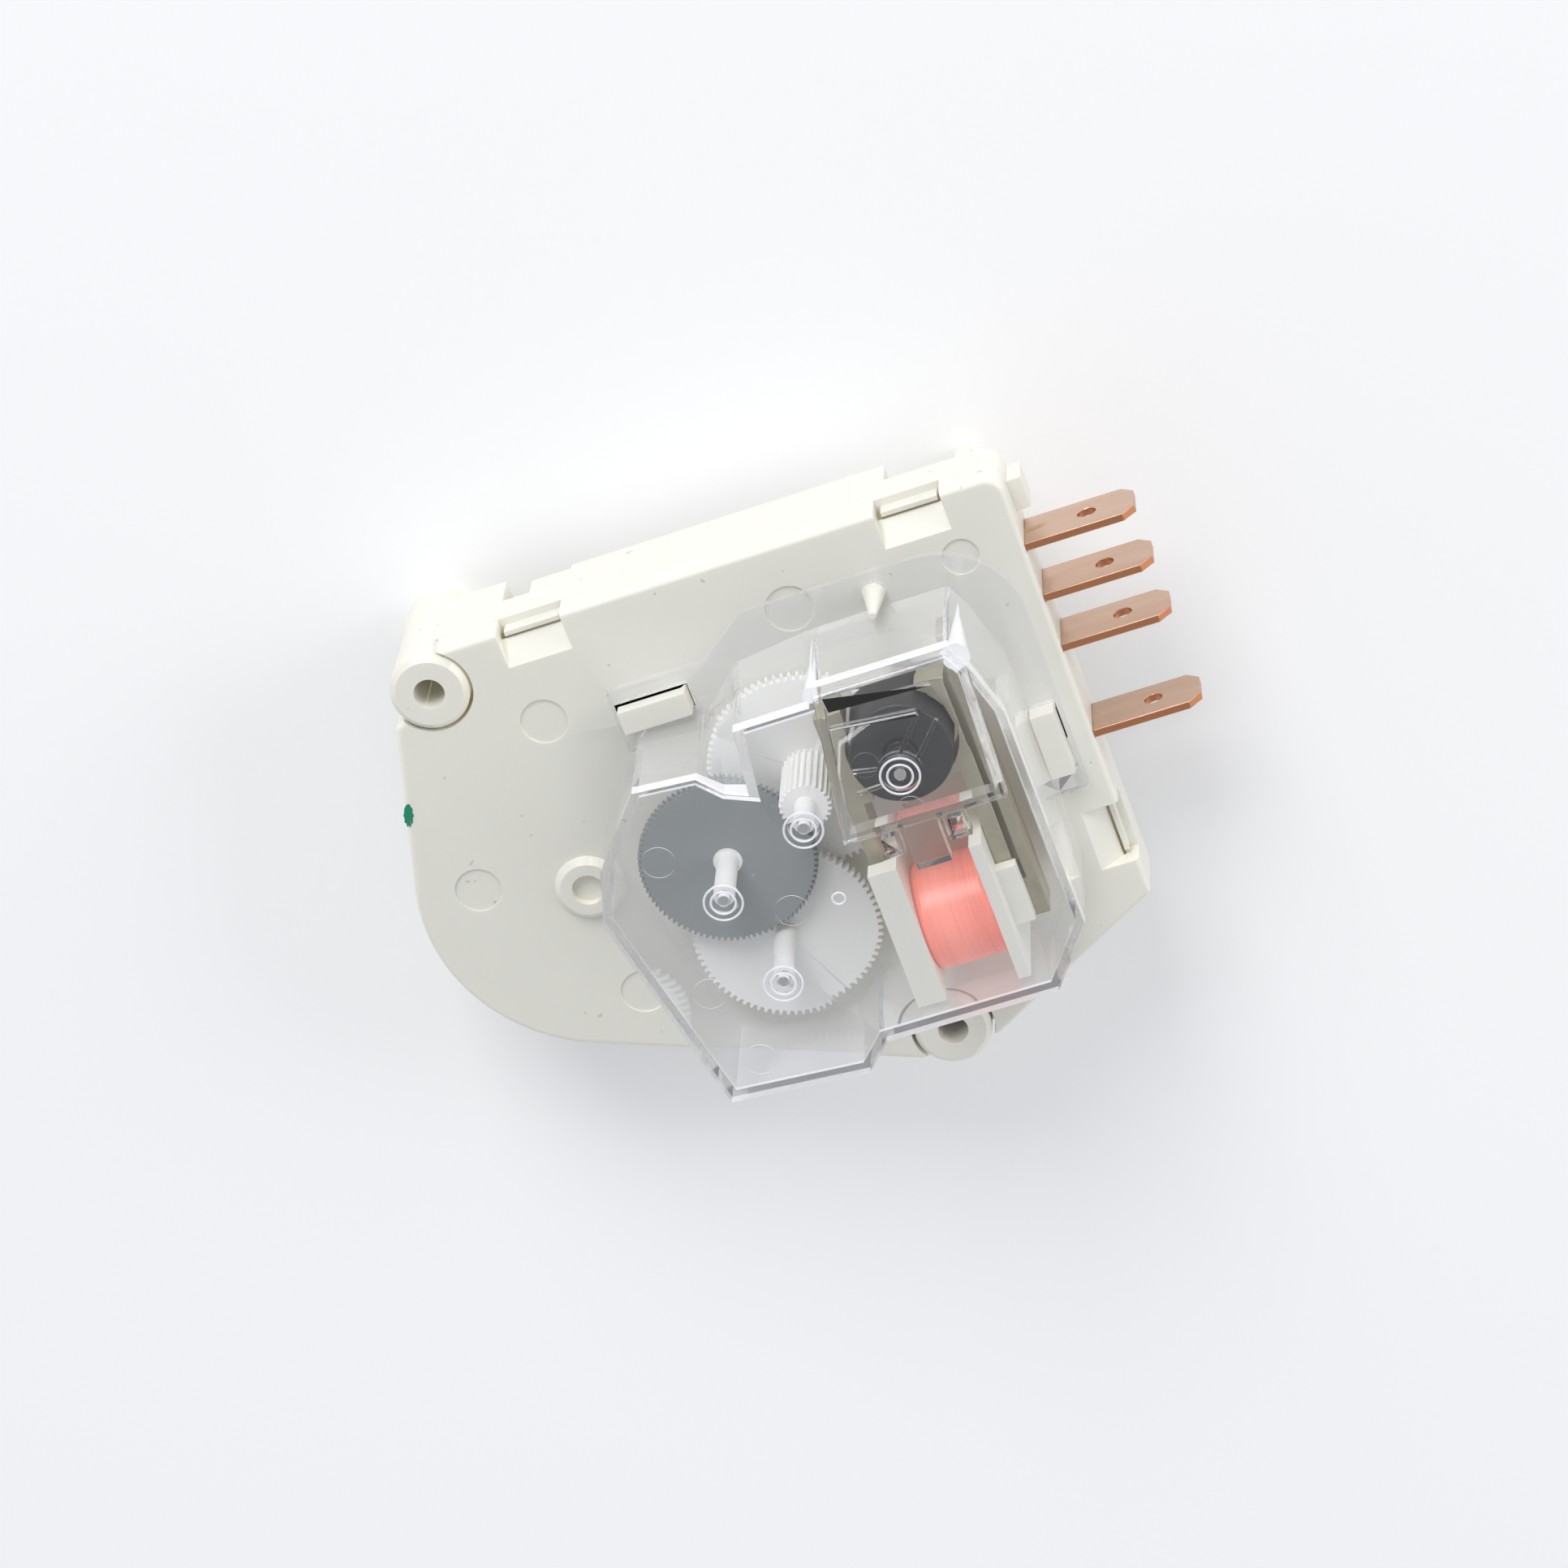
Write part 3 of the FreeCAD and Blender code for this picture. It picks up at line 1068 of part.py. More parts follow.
def make_gears():
    """The gear train from the rotor's pinion to the wheel that carries the cam."""
    thick = size("wheel_thick")
    bore = size("pin_rad") + size("run_gap")
    play = size("side_gap")
    seat_low = front + size("cover_top") - size("seat_in")
    hub_top = seat_low - play * 2
    low_a = front + size("wheel_a")
    top_a = low_a + thick
    column = front + size("column_top")
    turn_two, turn_one = size("turn_two").value, size("turn_one").value
    turn_three, cam_turn = size("turn_three").value, size("turn_cam").value
    pieces = [gear_piece("second_gear", axle_two, low_a, [
        ("teeth", low_a.value, top_a.value, (TEETH["wheel_a"], size("mod_one").value),
         gap_turn(turn_two, TEETH["wheel_a"])),
        ("teeth", low_a.value, column.value, (TEETH["column_a"], size("mod_two").value),
         turn_one),
        ("hub", low_a.value, hub_top.value, size("hub_rad").value, 0)], bore, hub_top)]
    low_b = front + size("wheel_b")
    top_b = low_b + thick
    pinion_low = front + size("wheel_c") - play
    shoulder = size("mod_three") * (TEETH["pinion_b"] * 0.5 + 1)
    pieces.append(gear_piece("grey_gear", axle_one, low_b, [
        ("teeth", low_b.value, top_b.value, (TEETH["wheel_b"], size("mod_two").value),
         gap_turn(turn_one, TEETH["wheel_b"]))], shoulder + size("pin_slack"), top_b))
    pieces.append(gear_piece("grey_gear_hub", axle_one, pinion_low, [
        ("teeth", pinion_low.value, low_b.value - play.value * 2,
         (TEETH["pinion_b"], size("mod_three").value), turn_three),
        ("hub", low_b.value - play.value * 2, top_b.value, shoulder.value, 0),
        ("hub", low_b.value, hub_top.value, size("hub_rad").value, 0)], bore, hub_top))
    low_c = front + size("wheel_c")
    top_c = low_c + thick
    cam_gear_low = size("cam_low") + size("cam_thick") + size("washer_thick") + play * 2
    drive_low = cam_gear_low - play
    pieces.append(gear_piece("third_gear", axle_three, drive_low, [
        ("teeth", low_c.value, top_c.value, (TEETH["wheel_c"], size("mod_three").value),
         gap_turn(turn_three, TEETH["wheel_c"])),
        ("teeth", drive_low.value, low_c.value, (TEETH["pinion_c"], size("mod_four").value),
         cam_turn),
        ("hub", low_c.value, hub_top.value, size("hub_rad").value, 0)], bore, hub_top))
    pieces.append(gear_piece("cam_gear", cam_place, cam_gear_low, [
        ("teeth", cam_gear_low.value, (cam_gear_low + thick).value,
         (TEETH["cam_wheel"], size("mod_four").value), gap_turn(cam_turn, TEETH["cam_wheel"]))],
        size("spigot_rad") + size("run_gap"), cam_gear_low + thick))
    rotor_low = front + size("rotor_low")
    chamber_seat = front + size("chamber_top") - size("seat_in") - play * 2
    pinion_bottom = low_a - play
    pieces.append(gear_piece("rotor_hub", rotor_place, pinion_bottom, [
        ("teeth", pinion_bottom.value, (top_a + play * 3).value,
         (TEETH["rotor"], size("mod_one").value), turn_two),
        ("hub", (top_a + play * 3).value, (rotor_low + size("rotor_long") + play * 5).value,
         size("rotor_hub").value, 0),
        ("hub", rotor_low.value, chamber_seat.value, size("hub_rad").value, 0)],
        bore, chamber_seat))
    return pieces


def ring_object(label, place, low, outer, inner, height):
    """A plain ring made as one cylinder cut by another."""
    solids = []
    for name, radius, drop, extra in (("_outer", outer, zero, zero),
                                      ("_inner", inner, as_size(1), as_size(2))):
        solid = doc.addObject("Part::Cylinder", label + name)
        solid.setExpression("Radius", radius.text)
        solid.setExpression("Height", (height + extra).text)
        solid.setExpression("Placement.Base.x", place[0].text)
        solid.setExpression("Placement.Base.y", place[1].text)
        solid.setExpression("Placement.Base.z", (low - drop).text)
        solids.append(solid)
    ring = doc.addObject("Part::Cut", label)
    ring.Label = label
    ring.Base, ring.Tool = solids
    doc.recompute()
    return ring


def rod_object(label, place, low, radius, height):
    """An upright steel pin."""
    rod = doc.addObject("Part::Cylinder", label)
    rod.Label = label
    rod.setExpression("Radius", radius.text)
    rod.setExpression("Height", height.text)
    rod.setExpression("Placement.Base.x", place[0].text)
    rod.setExpression("Placement.Base.y", place[1].text)
    rod.setExpression("Placement.Base.z", low.text)
    doc.recompute()
    return rod


def arm_face(side):
    """The face of a yoke arm that lies against the bobbin; side is -1 or 1."""
    return size("coil_x") + (size("coil_half") + size("flange_thick") + size("touch_gap")) * side


def make_yoke(side, label):
    """A laminated yoke arm with a hollow pole shoe beside the rotor."""
    body = new_body(label)
    axis = front + size("coil_up")
    half = size("stack_high") * 0.5
    wide = size("core_wide") * 0.5
    near = arm_face(side)
    far = near + size("pole_thick") * side
    low_y, top_y = size("coil_y") - wide, rotor_place[1] + size("pole_up")

    def slab(name, first, second, low, high):
        """Adds a slab between two distances along X, in either order."""
        left, right = (first, second) if side > 0 else (second, first)
        box_pad(body, name, (left, low, axis - half), (right, high, axis + half))

    slab("arm", near, far, low_y, top_y)
    slab("pole_shoe", near - size("pole_reach") * side, far,
         rotor_place[1] - size("pole_up"), top_y)
    round_pocket(body, "pole_face", rotor_place[0], rotor_place[1],
                 size("rotor_rad") + size("pole_gap"), axis - half, axis + half)
    if side > 0:
        sheet = far + size("sheet_gap")
        slab("sheet_foot", far, sheet, low_y, size("coil_y") + wide)
        slab("outer_sheet", sheet, sheet + size("sheet_thick"), low_y,
             rotor_place[1] + size("sheet_up"))
    return body


def make_core():
    """The laminated bar that runs through the coil between the two yoke arms."""
    body = new_body("coil_core")
    axis = front + size("coil_up")
    half = size("stack_high") * 0.5
    wide = size("core_wide") * 0.5
    box_pad(body, "bar", (arm_face(-1), size("coil_y") - wide, axis - half),
            (arm_face(1), size("coil_y") + wide, axis + half))
    return body


def make_bobbin():
    """The moulded bobbin: a tube, two flanges with feet, and a terminal block."""
    body = new_body("coil_bobbin")
    y, axis = size("coil_y"), front + size("coil_up")
    thick = size("flange_thick")
    left = size("coil_x") - size("coil_half") - thick
    right = size("coil_x") + size("coil_half")
    foot_top = front + size("foot_high")
    low, high = y - size("flange_down"), y + size("flange_up")
    rim = axis + size("flange_front")
    profile = [(low, front), (y + size("foot_up"), front), (y + size("foot_up"), foot_top),
               (high, foot_top), (high, rim), (low, rim)]
    tube = new_sketch(body, "tube_outline", left, "YZ_Plane")
    draw_circle(tube, y, axis, size("tube_rad"))
    add_pad(body, "tube", tube, right + thick - left)
    for name, place in (("left", left), ("right", right)):
        flange = new_sketch(body, "flange_outline_" + name, place, "YZ_Plane")
        draw_polygon(flange, profile)
        add_pad(body, "flange_" + name, flange, thick)
    box_pad(body, "flange_cap", (left + thick - size("cap_wide"), low, rim - size("cap_thick")),
            (left + thick, high, rim))
    block_low = axis + size("stack_high") * 0.5 + size("side_gap")
    box_pad(body, "terminal_block", (right + thick, y - size("block_down"), block_low),
            (right + thick + size("block_wide"), y + size("block_up"),
             block_low + size("block_thick")))
    slack = size("pin_slack")
    half = size("stack_high") * 0.5 + slack
    wide = size("core_wide") * 0.5 + slack
    hole = new_sketch(body, "core_hole_outline", right + thick, "YZ_Plane")
    draw_box(hole, y - wide, axis - half, y + wide, axis + half)
    cut_pocket(body, "core_hole", hole, right + thick - left)
    for number, (pin_x, pin_y) in enumerate(lead_places(), 1):
        round_pocket(body, "pin_hole_%d" % number, pin_x, pin_y,
                     size("lead_rad") + slack, front, foot_top)
    return body


def make_winding():
    """The enamelled wire on the bobbin, as one ring."""
    body = new_body("coil_winding")
    y, axis = size("coil_y"), front + size("coil_up")
    ring = new_sketch(body, "ring_outline", size("coil_x") - size("coil_half"), "YZ_Plane")
    draw_circle(ring, y, axis, size("coil_rad"))
    draw_circle(ring, y, axis, size("tube_rad") + size("pin_slack"))
    add_pad(body, "ring", ring, size("coil_half") * 2)
    return body


pieces = [make_back_case(), make_gear_plate(), make_clear_cover()]
for name in tabs:
    terminal = make_terminal(name)
    if name == "one":
        add_fixed_blade(terminal, name, upper_face, 1)
    if name == "three":
        add_fixed_blade(terminal, name, lower_face, -1)
    pieces.append(terminal)
pieces.append(make_contact("contact_upper", upper_face))
pieces.append(make_contact("contact_lower", lower_face - size("contact_thick")))
pieces += [make_moving_contact(), make_moving_blade(), make_cam_follower(), make_cam()]
pieces += make_gears()
washer_low = size("cam_low") + size("cam_thick") + size("side_gap")
pieces.append(ring_object("clutch_washer", cam_place, washer_low, size("washer_rad"),
                          size("spigot_rad") + size("run_gap"), size("washer_thick")))
pieces.append(ring_object("rotor_magnet", rotor_place, front + size("rotor_low"),
                          size("rotor_rad"), size("rotor_hub") + size("pin_slack"),
                          size("rotor_long")))
pieces += [make_yoke(-1, "yoke_left"), make_yoke(1, "yoke_right"), make_core()]
pieces += [make_bobbin(), make_winding()]
pin_low = front - size("pin_in")
seat_end = front + size("cover_top") - size("seat_in") + size("seat_deep") - size("side_gap")
chamber_end = (front + size("chamber_top") - size("seat_in") + size("seat_deep")
               - size("side_gap"))
pieces.append(rod_object("axle_grey_gear", axle_one, pin_low, size("pin_rad"),
                         seat_end - pin_low))
pieces.append(rod_object("axle_second_gear", axle_two, pin_low, size("pin_rad"),
                         seat_end - pin_low))
pieces.append(rod_object("axle_rotor", rotor_place, pin_low, size("pin_rad"),
                         chamber_end - pin_low))
pieces.append(rod_object("axle_third_gear", axle_three, block_inner, size("pin_rad"),
                         seat_end - block_inner))
for label, place in zip(("coil_pin_left", "coil_pin_right"), lead_places()):
    pieces.append(rod_object(label, place, front + size("foot_high") - size("lead_long"),
                             size("lead_rad"), size("lead_long")))

doc.recompute()
for item in doc.Objects:
    if "Invalid" in item.State or "Error" in item.State:
        raise ValueError("%s failed: %s" % (item.Label, item.State))
os.makedirs("parts", exist_ok=True)
for piece in pieces:
    shape = piece.Shape
    if shape.isNull() or not shape.isValid():
        raise ValueError("%s has no valid shape" % piece.Label)
    shape.exportStep("parts/%s.step" % piece.Label)
    print("%-22s %8.2f mm3  %d solids" % (piece.Label, shape.Volume, len(shape.Solids)))
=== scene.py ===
"""Defrost timer: a cream moulded housing, a clear cover over a small motor and its gears.

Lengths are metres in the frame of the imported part: X along the top edge towards the
terminals, Y up the gear plate, Z out of the clear cover.
"""

import json
import logging
import math
from dataclasses import dataclass, field
from enum import Enum
from typing import Sequence

import bmesh
import bpy
from mathutils import Matrix, Vector

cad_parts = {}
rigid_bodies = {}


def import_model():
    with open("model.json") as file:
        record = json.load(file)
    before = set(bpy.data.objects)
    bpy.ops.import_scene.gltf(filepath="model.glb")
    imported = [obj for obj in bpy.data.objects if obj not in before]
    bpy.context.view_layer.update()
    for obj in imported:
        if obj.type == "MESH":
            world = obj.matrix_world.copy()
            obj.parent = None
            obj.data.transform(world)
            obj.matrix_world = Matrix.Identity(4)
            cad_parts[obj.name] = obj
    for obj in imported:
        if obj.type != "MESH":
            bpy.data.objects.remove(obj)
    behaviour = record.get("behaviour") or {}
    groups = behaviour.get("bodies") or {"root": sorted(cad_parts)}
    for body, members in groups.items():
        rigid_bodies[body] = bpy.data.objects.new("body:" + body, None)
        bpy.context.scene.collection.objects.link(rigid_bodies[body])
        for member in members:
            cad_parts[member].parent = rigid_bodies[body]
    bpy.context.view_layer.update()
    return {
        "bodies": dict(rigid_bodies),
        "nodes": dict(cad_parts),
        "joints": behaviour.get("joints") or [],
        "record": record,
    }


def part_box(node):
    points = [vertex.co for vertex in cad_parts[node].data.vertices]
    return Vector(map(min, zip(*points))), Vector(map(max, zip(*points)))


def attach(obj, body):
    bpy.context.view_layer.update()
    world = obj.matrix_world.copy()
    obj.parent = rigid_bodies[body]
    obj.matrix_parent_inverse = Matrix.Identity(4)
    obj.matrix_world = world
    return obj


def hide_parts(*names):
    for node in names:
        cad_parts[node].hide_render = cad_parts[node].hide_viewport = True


logging.basicConfig(level=logging.INFO, format="%(levelname)s %(message)s")
log = logging.getLogger("defrost_timer")

MM = 0.001
PLATE_FRONT = 16.3 * MM
COVER_FACE = 31.1 * MM
CHAMBER_FACE = 33.1 * MM
ROUNDING = "rounding"
Point = tuple[float, float, float]
Tint = tuple[float, float, float]


class Slot(Enum):
    """The record's material slots, listed for each new piece; the pieces' finishes come from
    their own materials.
    """

    CREAM = "cream_plastic"
    CLEAR = "clear_plastic"
    WHITE = "white_plastic"
    GREY = "grey_plastic"
    COPPER = "copper"
    WIRE = "enamelled_wire"
    LAMINATION = "lamination"
    MAGNET = "magnet"
    SILVER = "silver"
    STEEL = "steel"


def mm(x: float, y: float, z: float) -> Vector:
    """A point given in millimetres.

    Args:
        x: Distance along the top edge.
        y: Distance up the plate.
        z: Height out of the cover.

    Returns:
        The point in metres.
    """
    return Vector((x * MM, y * MM, z * MM))


class NodeTree:
    """Short words for adding and joining shader nodes."""

    def __init__(self, tree: bpy.types.NodeTree) -> None:
        """Takes the tree that nodes go into."""
        self.tree = tree

    def add(self, kind: str, **values: object) -> bpy.types.Node:
        """Adds a node.

        Args:
            kind: The node's type name.
            **values: Attributes of the node, such as operation.

        Returns:
            The new node.
        """
        node = self.tree.nodes.new(kind)
        for name, value in values.items():
            setattr(node, name, value)
        return node

    def join(self, source: bpy.types.NodeSocket, target: bpy.types.NodeSocket) -> None:
        """Links an output to an input."""
        self.tree.links.new(source, target)

    def maths(self, operation: str, first: object, second: object = 0.0) -> bpy.types.NodeSocket:
        """Adds a Math node.

        Args:
            operation: The node's operation.
            first: A socket or a number.
            second: A socket or a number.

        Returns:
            The result's socket.
        """
        node = self.add("ShaderNodeMath", operation=operation)
        for socket, value in zip(node.inputs, (first, second)):
            if isinstance(value, bpy.types.NodeSocket):
                self.join(value, socket)
            else:
                socket.default_value = value
        return node.outputs[0]

    def mix(self, factor: object, first: object, second: object) -> bpy.types.NodeSocket:
        """Mixes two colours.

        Args:
            factor: A socket or a number.
            first: A colour or its socket at factor 0.
            second: A colour or its socket at factor 1.

        Returns:
            The mixed colour's socket.
        """
        node = self.add("ShaderNodeMix", data_type="RGBA")
        for socket, value in zip((node.inputs[0], node.inputs[6], node.inputs[7]),
                                 (factor, first, second)):
            if isinstance(value, bpy.types.NodeSocket):
                self.join(value, socket)
            else:
                socket.default_value = value
        return node.outputs[2]

    def noise(self, vector: bpy.types.NodeSocket, scale: float, detail: float,
              roughness: float = 0.5) -> bpy.types.NodeSocket:
        """Adds a noise texture.

        Args:
            vector: Where the noise is read.
            scale: Spots per metre.
            detail: Number of finer layers.
            roughness: Strength of the finer layers.

        Returns:
            The noise's value socket.
        """
        node = self.add("ShaderNodeTexNoise")
        node.inputs["Scale"].default_value = scale
        node.inputs["Detail"].default_value = detail
        node.inputs["Roughness"].default_value = roughness
        self.join(vector, node.inputs["Vector"])
        return node.outputs["Fac"]

    def uneven(self, base: bpy.types.NodeSocket, pattern: bpy.types.NodeSocket,
               swing: float) -> bpy.types.NodeSocket:
        """Raises and lowers a number along with a pattern that runs from zero to one.

        Args:
            base: The number.
            pattern: The pattern.
            swing: How far the number moves in all.

        Returns:
            The result's socket.
        """
        change = self.maths("MULTIPLY", self.maths("SUBTRACT", pattern, 0.5), swing)
        return self.maths("ADD", base, change)


def new_group(name: str, inputs: Sequence[tuple[str, str]],
              outputs: Sequence[tuple[str, str]]) -> bpy.types.NodeTree:
    """Makes an empty shader node group with named sockets.

    Args:
        name: The group's name.
        inputs: Socket names and types.
        outputs: Socket names and types.

    Returns:
        The group's tree, with its two end nodes.
    """
    tree = bpy.data.node_groups.new(name, "ShaderNodeTree")
    for socket_name, kind in inputs:
        tree.interface.new_socket(socket_name, in_out="INPUT", socket_type=kind)
    for socket_name, kind in outputs:
        tree.interface.new_socket(socket_name, in_out="OUTPUT", socket_type=kind)
    tree.nodes.new("NodeGroupInput")
    tree.nodes.new("NodeGroupOutput")
    return tree


def group_ends(tree: bpy.types.NodeTree) -> tuple[bpy.types.Node, bpy.types.Node]:
    """The input and the output node of a group."""
    return tree.nodes["Group Input"], tree.nodes["Group Output"]


COLOUR, NUMBER, VECTOR = "NodeSocketColor", "NodeSocketFloat", "NodeSocketVector"

# Patterns of the moulded skin and of rolled metal, in spots per metre
CLOUDS = 90.0
SPECKS = 900.0
GRAIN = 5200.0
WAVES = 160.0
RIPPLES = 170.0
LINES = 260.0
PATCHES = 28.0

# How strongly those patterns show
SPECK_LIMIT = 0.79
SPECK_SHARE = 0.35
GRAIN_SHARE = 0.35
WAVE_SWING = 0.22
LINE_SWING = 0.3


def moulded_skin() -> bpy.types.NodeTree:
    """The skin of a moulded plastic: soft clouds in its colour, fine grain and a few specks.

    Returns:
        The node group.
    """
    name = "moulded_skin"
    if name in bpy.data.node_groups:
        return bpy.data.node_groups[name]
    tree = new_group(
        name,
        [("Vector", VECTOR), ("Base", COLOUR), ("Shade", COLOUR), ("Speck", COLOUR),
         ("Clouds", NUMBER), ("Roughness", NUMBER)],
        [("Color", COLOUR), ("Roughness", NUMBER), ("Height", NUMBER)])
    nodes = NodeTree(tree)
    start, end = group_ends(tree)
    place = start.outputs["Vector"]
    clouds = nodes.maths("MULTIPLY", nodes.noise(place, CLOUDS, 3.0), start.outputs["Clouds"])
    colour = nodes.mix(clouds, start.outputs["Base"], start.outputs["Shade"])
    spots = nodes.maths("GREATER_THAN", nodes.noise(place, SPECKS, 1.0, 0.3), SPECK_LIMIT)
    share = nodes.maths("MULTIPLY", spots, SPECK_SHARE)
    colour = nodes.mix(share, colour, start.outputs["Speck"])
    nodes.join(colour, end.inputs["Color"])
    grain = nodes.noise(place, GRAIN, 2.0, 0.6)
    waves = nodes.noise(place, WAVES, 2.0)
    nodes.join(nodes.uneven(start.outputs["Roughness"], waves, WAVE_SWING),
               end.inputs["Roughness"])
    height = nodes.maths("ADD", nodes.maths("MULTIPLY", grain, GRAIN_SHARE), waves)
    nodes.join(height, end.inputs["Height"])
    return tree


def rolled_metal() -> bpy.types.NodeTree:
    """Rolled or drawn metal: fine lines along one direction and darker tarnish in patches.

    Returns:
        The node group.
    """
    name = "rolled_metal"
    if name in bpy.data.node_groups:
        return bpy.data.node_groups[name]
    tree = new_group(
        name,
        [("Vector", VECTOR), ("Base", COLOUR), ("Tarnish", COLOUR), ("Amount", NUMBER),
         ("Roughness", NUMBER)],
        [("Color", COLOUR), ("Roughness", NUMBER), ("Height", NUMBER)])
    nodes = NodeTree(tree)
    start, end = group_ends(tree)
    lines = nodes.noise(start.outputs["Vector"], LINES, 4.0, 0.7)
    patches = nodes.noise(start.outputs["Vector"], PATCHES, 3.0)
    share = nodes.maths("MULTIPLY", nodes.maths("MULTIPLY", lines, patches),
                        start.outputs["Amount"])
    nodes.join(nodes.mix(share, start.outputs["Base"], start.outputs["Tarnish"]),
               end.inputs["Color"])
    nodes.join(nodes.uneven(start.outputs["Roughness"], lines, LINE_SWING),
               end.inputs["Roughness"])
    nodes.join(lines, end.inputs["Height"])
    return tree


def new_material(name: str) -> tuple[bpy.types.Material, NodeTree, bpy.types.Node]:
    """Makes a material with a Principled shader.

    Args:
        name: The material's name.

    Returns:
        The material, its nodes and its shader.
    """
    material = bpy.data.materials.new(name)
    material.use_nodes = True
    nodes = NodeTree(material.node_tree)
    return material, nodes, material.node_tree.nodes["Principled BSDF"]


def place_of(nodes: NodeTree, stretch: Point = (1.0, 1.0, 1.0)) -> bpy.types.NodeSocket:
    """Object coordinates, stretched.

    Args:
        nodes: The material's nodes.
        stretch: Scale along X, Y and Z.

    Returns:
        The vector's socket.
    """
    mapping = nodes.add("ShaderNodeMapping")
    mapping.inputs["Scale"].default_value = stretch
    nodes.join(nodes.add("ShaderNodeTexCoord").outputs["Object"], mapping.inputs["Vector"])
    return mapping.outputs["Vector"]


def bump(nodes: NodeTree, shader: bpy.types.Node, height: bpy.types.NodeSocket,
         strength: float, distance: float) -> None:
    """Gives a shader a bumpy normal.

    Args:
        nodes: The material's nodes.
        shader: The shader.
        height: The height's socket.
        strength: Strength of the bump.
        distance: Depth of the bump in metres.
    """
    node = nodes.add("ShaderNodeBump")
    node.inputs["Strength"].default_value = strength
    node.inputs["Distance"].default_value = distance
    nodes.join(height, node.inputs["Height"])
    nodes.join(node.outputs["Normal"], shader.inputs["Normal"])


def steepness(nodes: NodeTree, axis: str = "Z") -> bpy.types.NodeSocket:
    """Zero on surfaces that face along an axis, rising to one where they stand across it.

    Args:
        nodes: The material's nodes.
        axis: X, Y or Z.

    Returns:
        The value's socket.
    """
    split = nodes.add("ShaderNodeSeparateXYZ")
    nodes.join(nodes.add("ShaderNodeTexCoord").outputs["Normal"], split.inputs[0])
    return nodes.maths("SUBTRACT", 1.0, nodes.maths("ABSOLUTE", split.outputs[axis]))


def facing_inwards(nodes: NodeTree, centre: Point, corner: Point) -> bpy.types.NodeSocket:
    """One where a surface looks towards a centre and lies beyond a corner, else zero.

    Args:
        nodes: The material's nodes.
        centre: The centre in metres.
        corner: The lowest X and Y that count, in metres.

    Returns:
        The value's socket.
    """
    texture = nodes.add("ShaderNodeTexCoord")
    inwards = nodes.add("ShaderNodeVectorMath", operation="SUBTRACT")
    inwards.inputs[0].default_value = centre
    nodes.join(texture.outputs["Object"], inwards.inputs[1])
    along = nodes.add("ShaderNodeVectorMath", operation="DOT_PRODUCT")
    nodes.join(inwards.outputs["Vector"], along.inputs[0])
    nodes.join(texture.outputs["Normal"], along.inputs[1])
    inner = nodes.maths("GREATER_THAN", along.outputs["Value"], 0.0)
    split = nodes.add("ShaderNodeSeparateXYZ")
    nodes.join(texture.outputs["Object"], split.inputs[0])
    for axis, lowest in zip("XY", corner):
        beyond = nodes.maths("GREATER_THAN", split.outputs[axis], lowest)
        inner = nodes.maths("MULTIPLY", inner, beyond)
    return inner


@dataclass(frozen=True)
class Moulded:
    """An opaque moulded plastic; inner faces that look towards a hollow's centre may carry a
    painted warm glow, standing in for daylight through its walls.
    """

    name: str
    base: Tint
    shade: Tint
    speck: Tint = (0.3, 0.26, 0.2)
    clouds: float = 0.5
    roughness: float = 0.42
    glow: float = 0.0
    # Strength of the painted glow that inner faces emit
    painted_inner_glow: float = 0.0
    painted_inner_glow_colour: Tint = (1.0, 0.86, 0.55)
    hollow_centre: Point = (0.030, -0.022, 0.008)
    hollow_corner: Point = (-0.001, -0.046, 0.0)
    scatter: Tint = (1.0, 0.8, 0.55)
    scatter_deep: float = 1.2 * MM
    gloss: float = 0.45
    relief: float = 0.12
    relief_deep: float = 0.08 * MM

    def material(self) -> bpy.types.Material:
        """Builds the material once and returns it."""
        if self.name in bpy.data.materials:
            return bpy.data.materials[self.name]
        material, nodes, shader = new_material(self.name)
        skin = nodes.add("ShaderNodeGroup", node_tree=moulded_skin())
        nodes.join(place_of(nodes), skin.inputs["Vector"])
        for socket, colour in (("Base", self.base), ("Shade", self.shade),
                               ("Speck", self.speck)):
            skin.inputs[socket].default_value = (*colour, 1.0)
        skin.inputs["Clouds"].default_value = self.clouds
        skin.inputs["Roughness"].default_value = self.roughness
        nodes.join(skin.outputs["Color"], shader.inputs["Base Color"])
        nodes.join(skin.outputs["Roughness"], shader.inputs["Roughness"])
        shader.inputs["Subsurface Weight"].default_value = self.glow
        shader.inputs["Subsurface Radius"].default_value = self.scatter
        shader.inputs["Subsurface Scale"].default_value = self.scatter_deep
        shader.inputs["Specular IOR Level"].default_value = self.gloss
        # Painted light: inner faces that look towards the centre emit a warm glow
        if self.painted_inner_glow > 0.0:
            shader.inputs["Emission Color"].default_value = (*self.painted_inner_glow_colour, 1.0)
            inner = facing_inwards(nodes, self.hollow_centre, self.hollow_corner)
            nodes.join(nodes.maths("MULTIPLY", inner, self.painted_inner_glow),
                       shader.inputs["Emission Strength"])
        bump(nodes, shader, skin.outputs["Height"], self.relief, self.relief_deep)
        return material


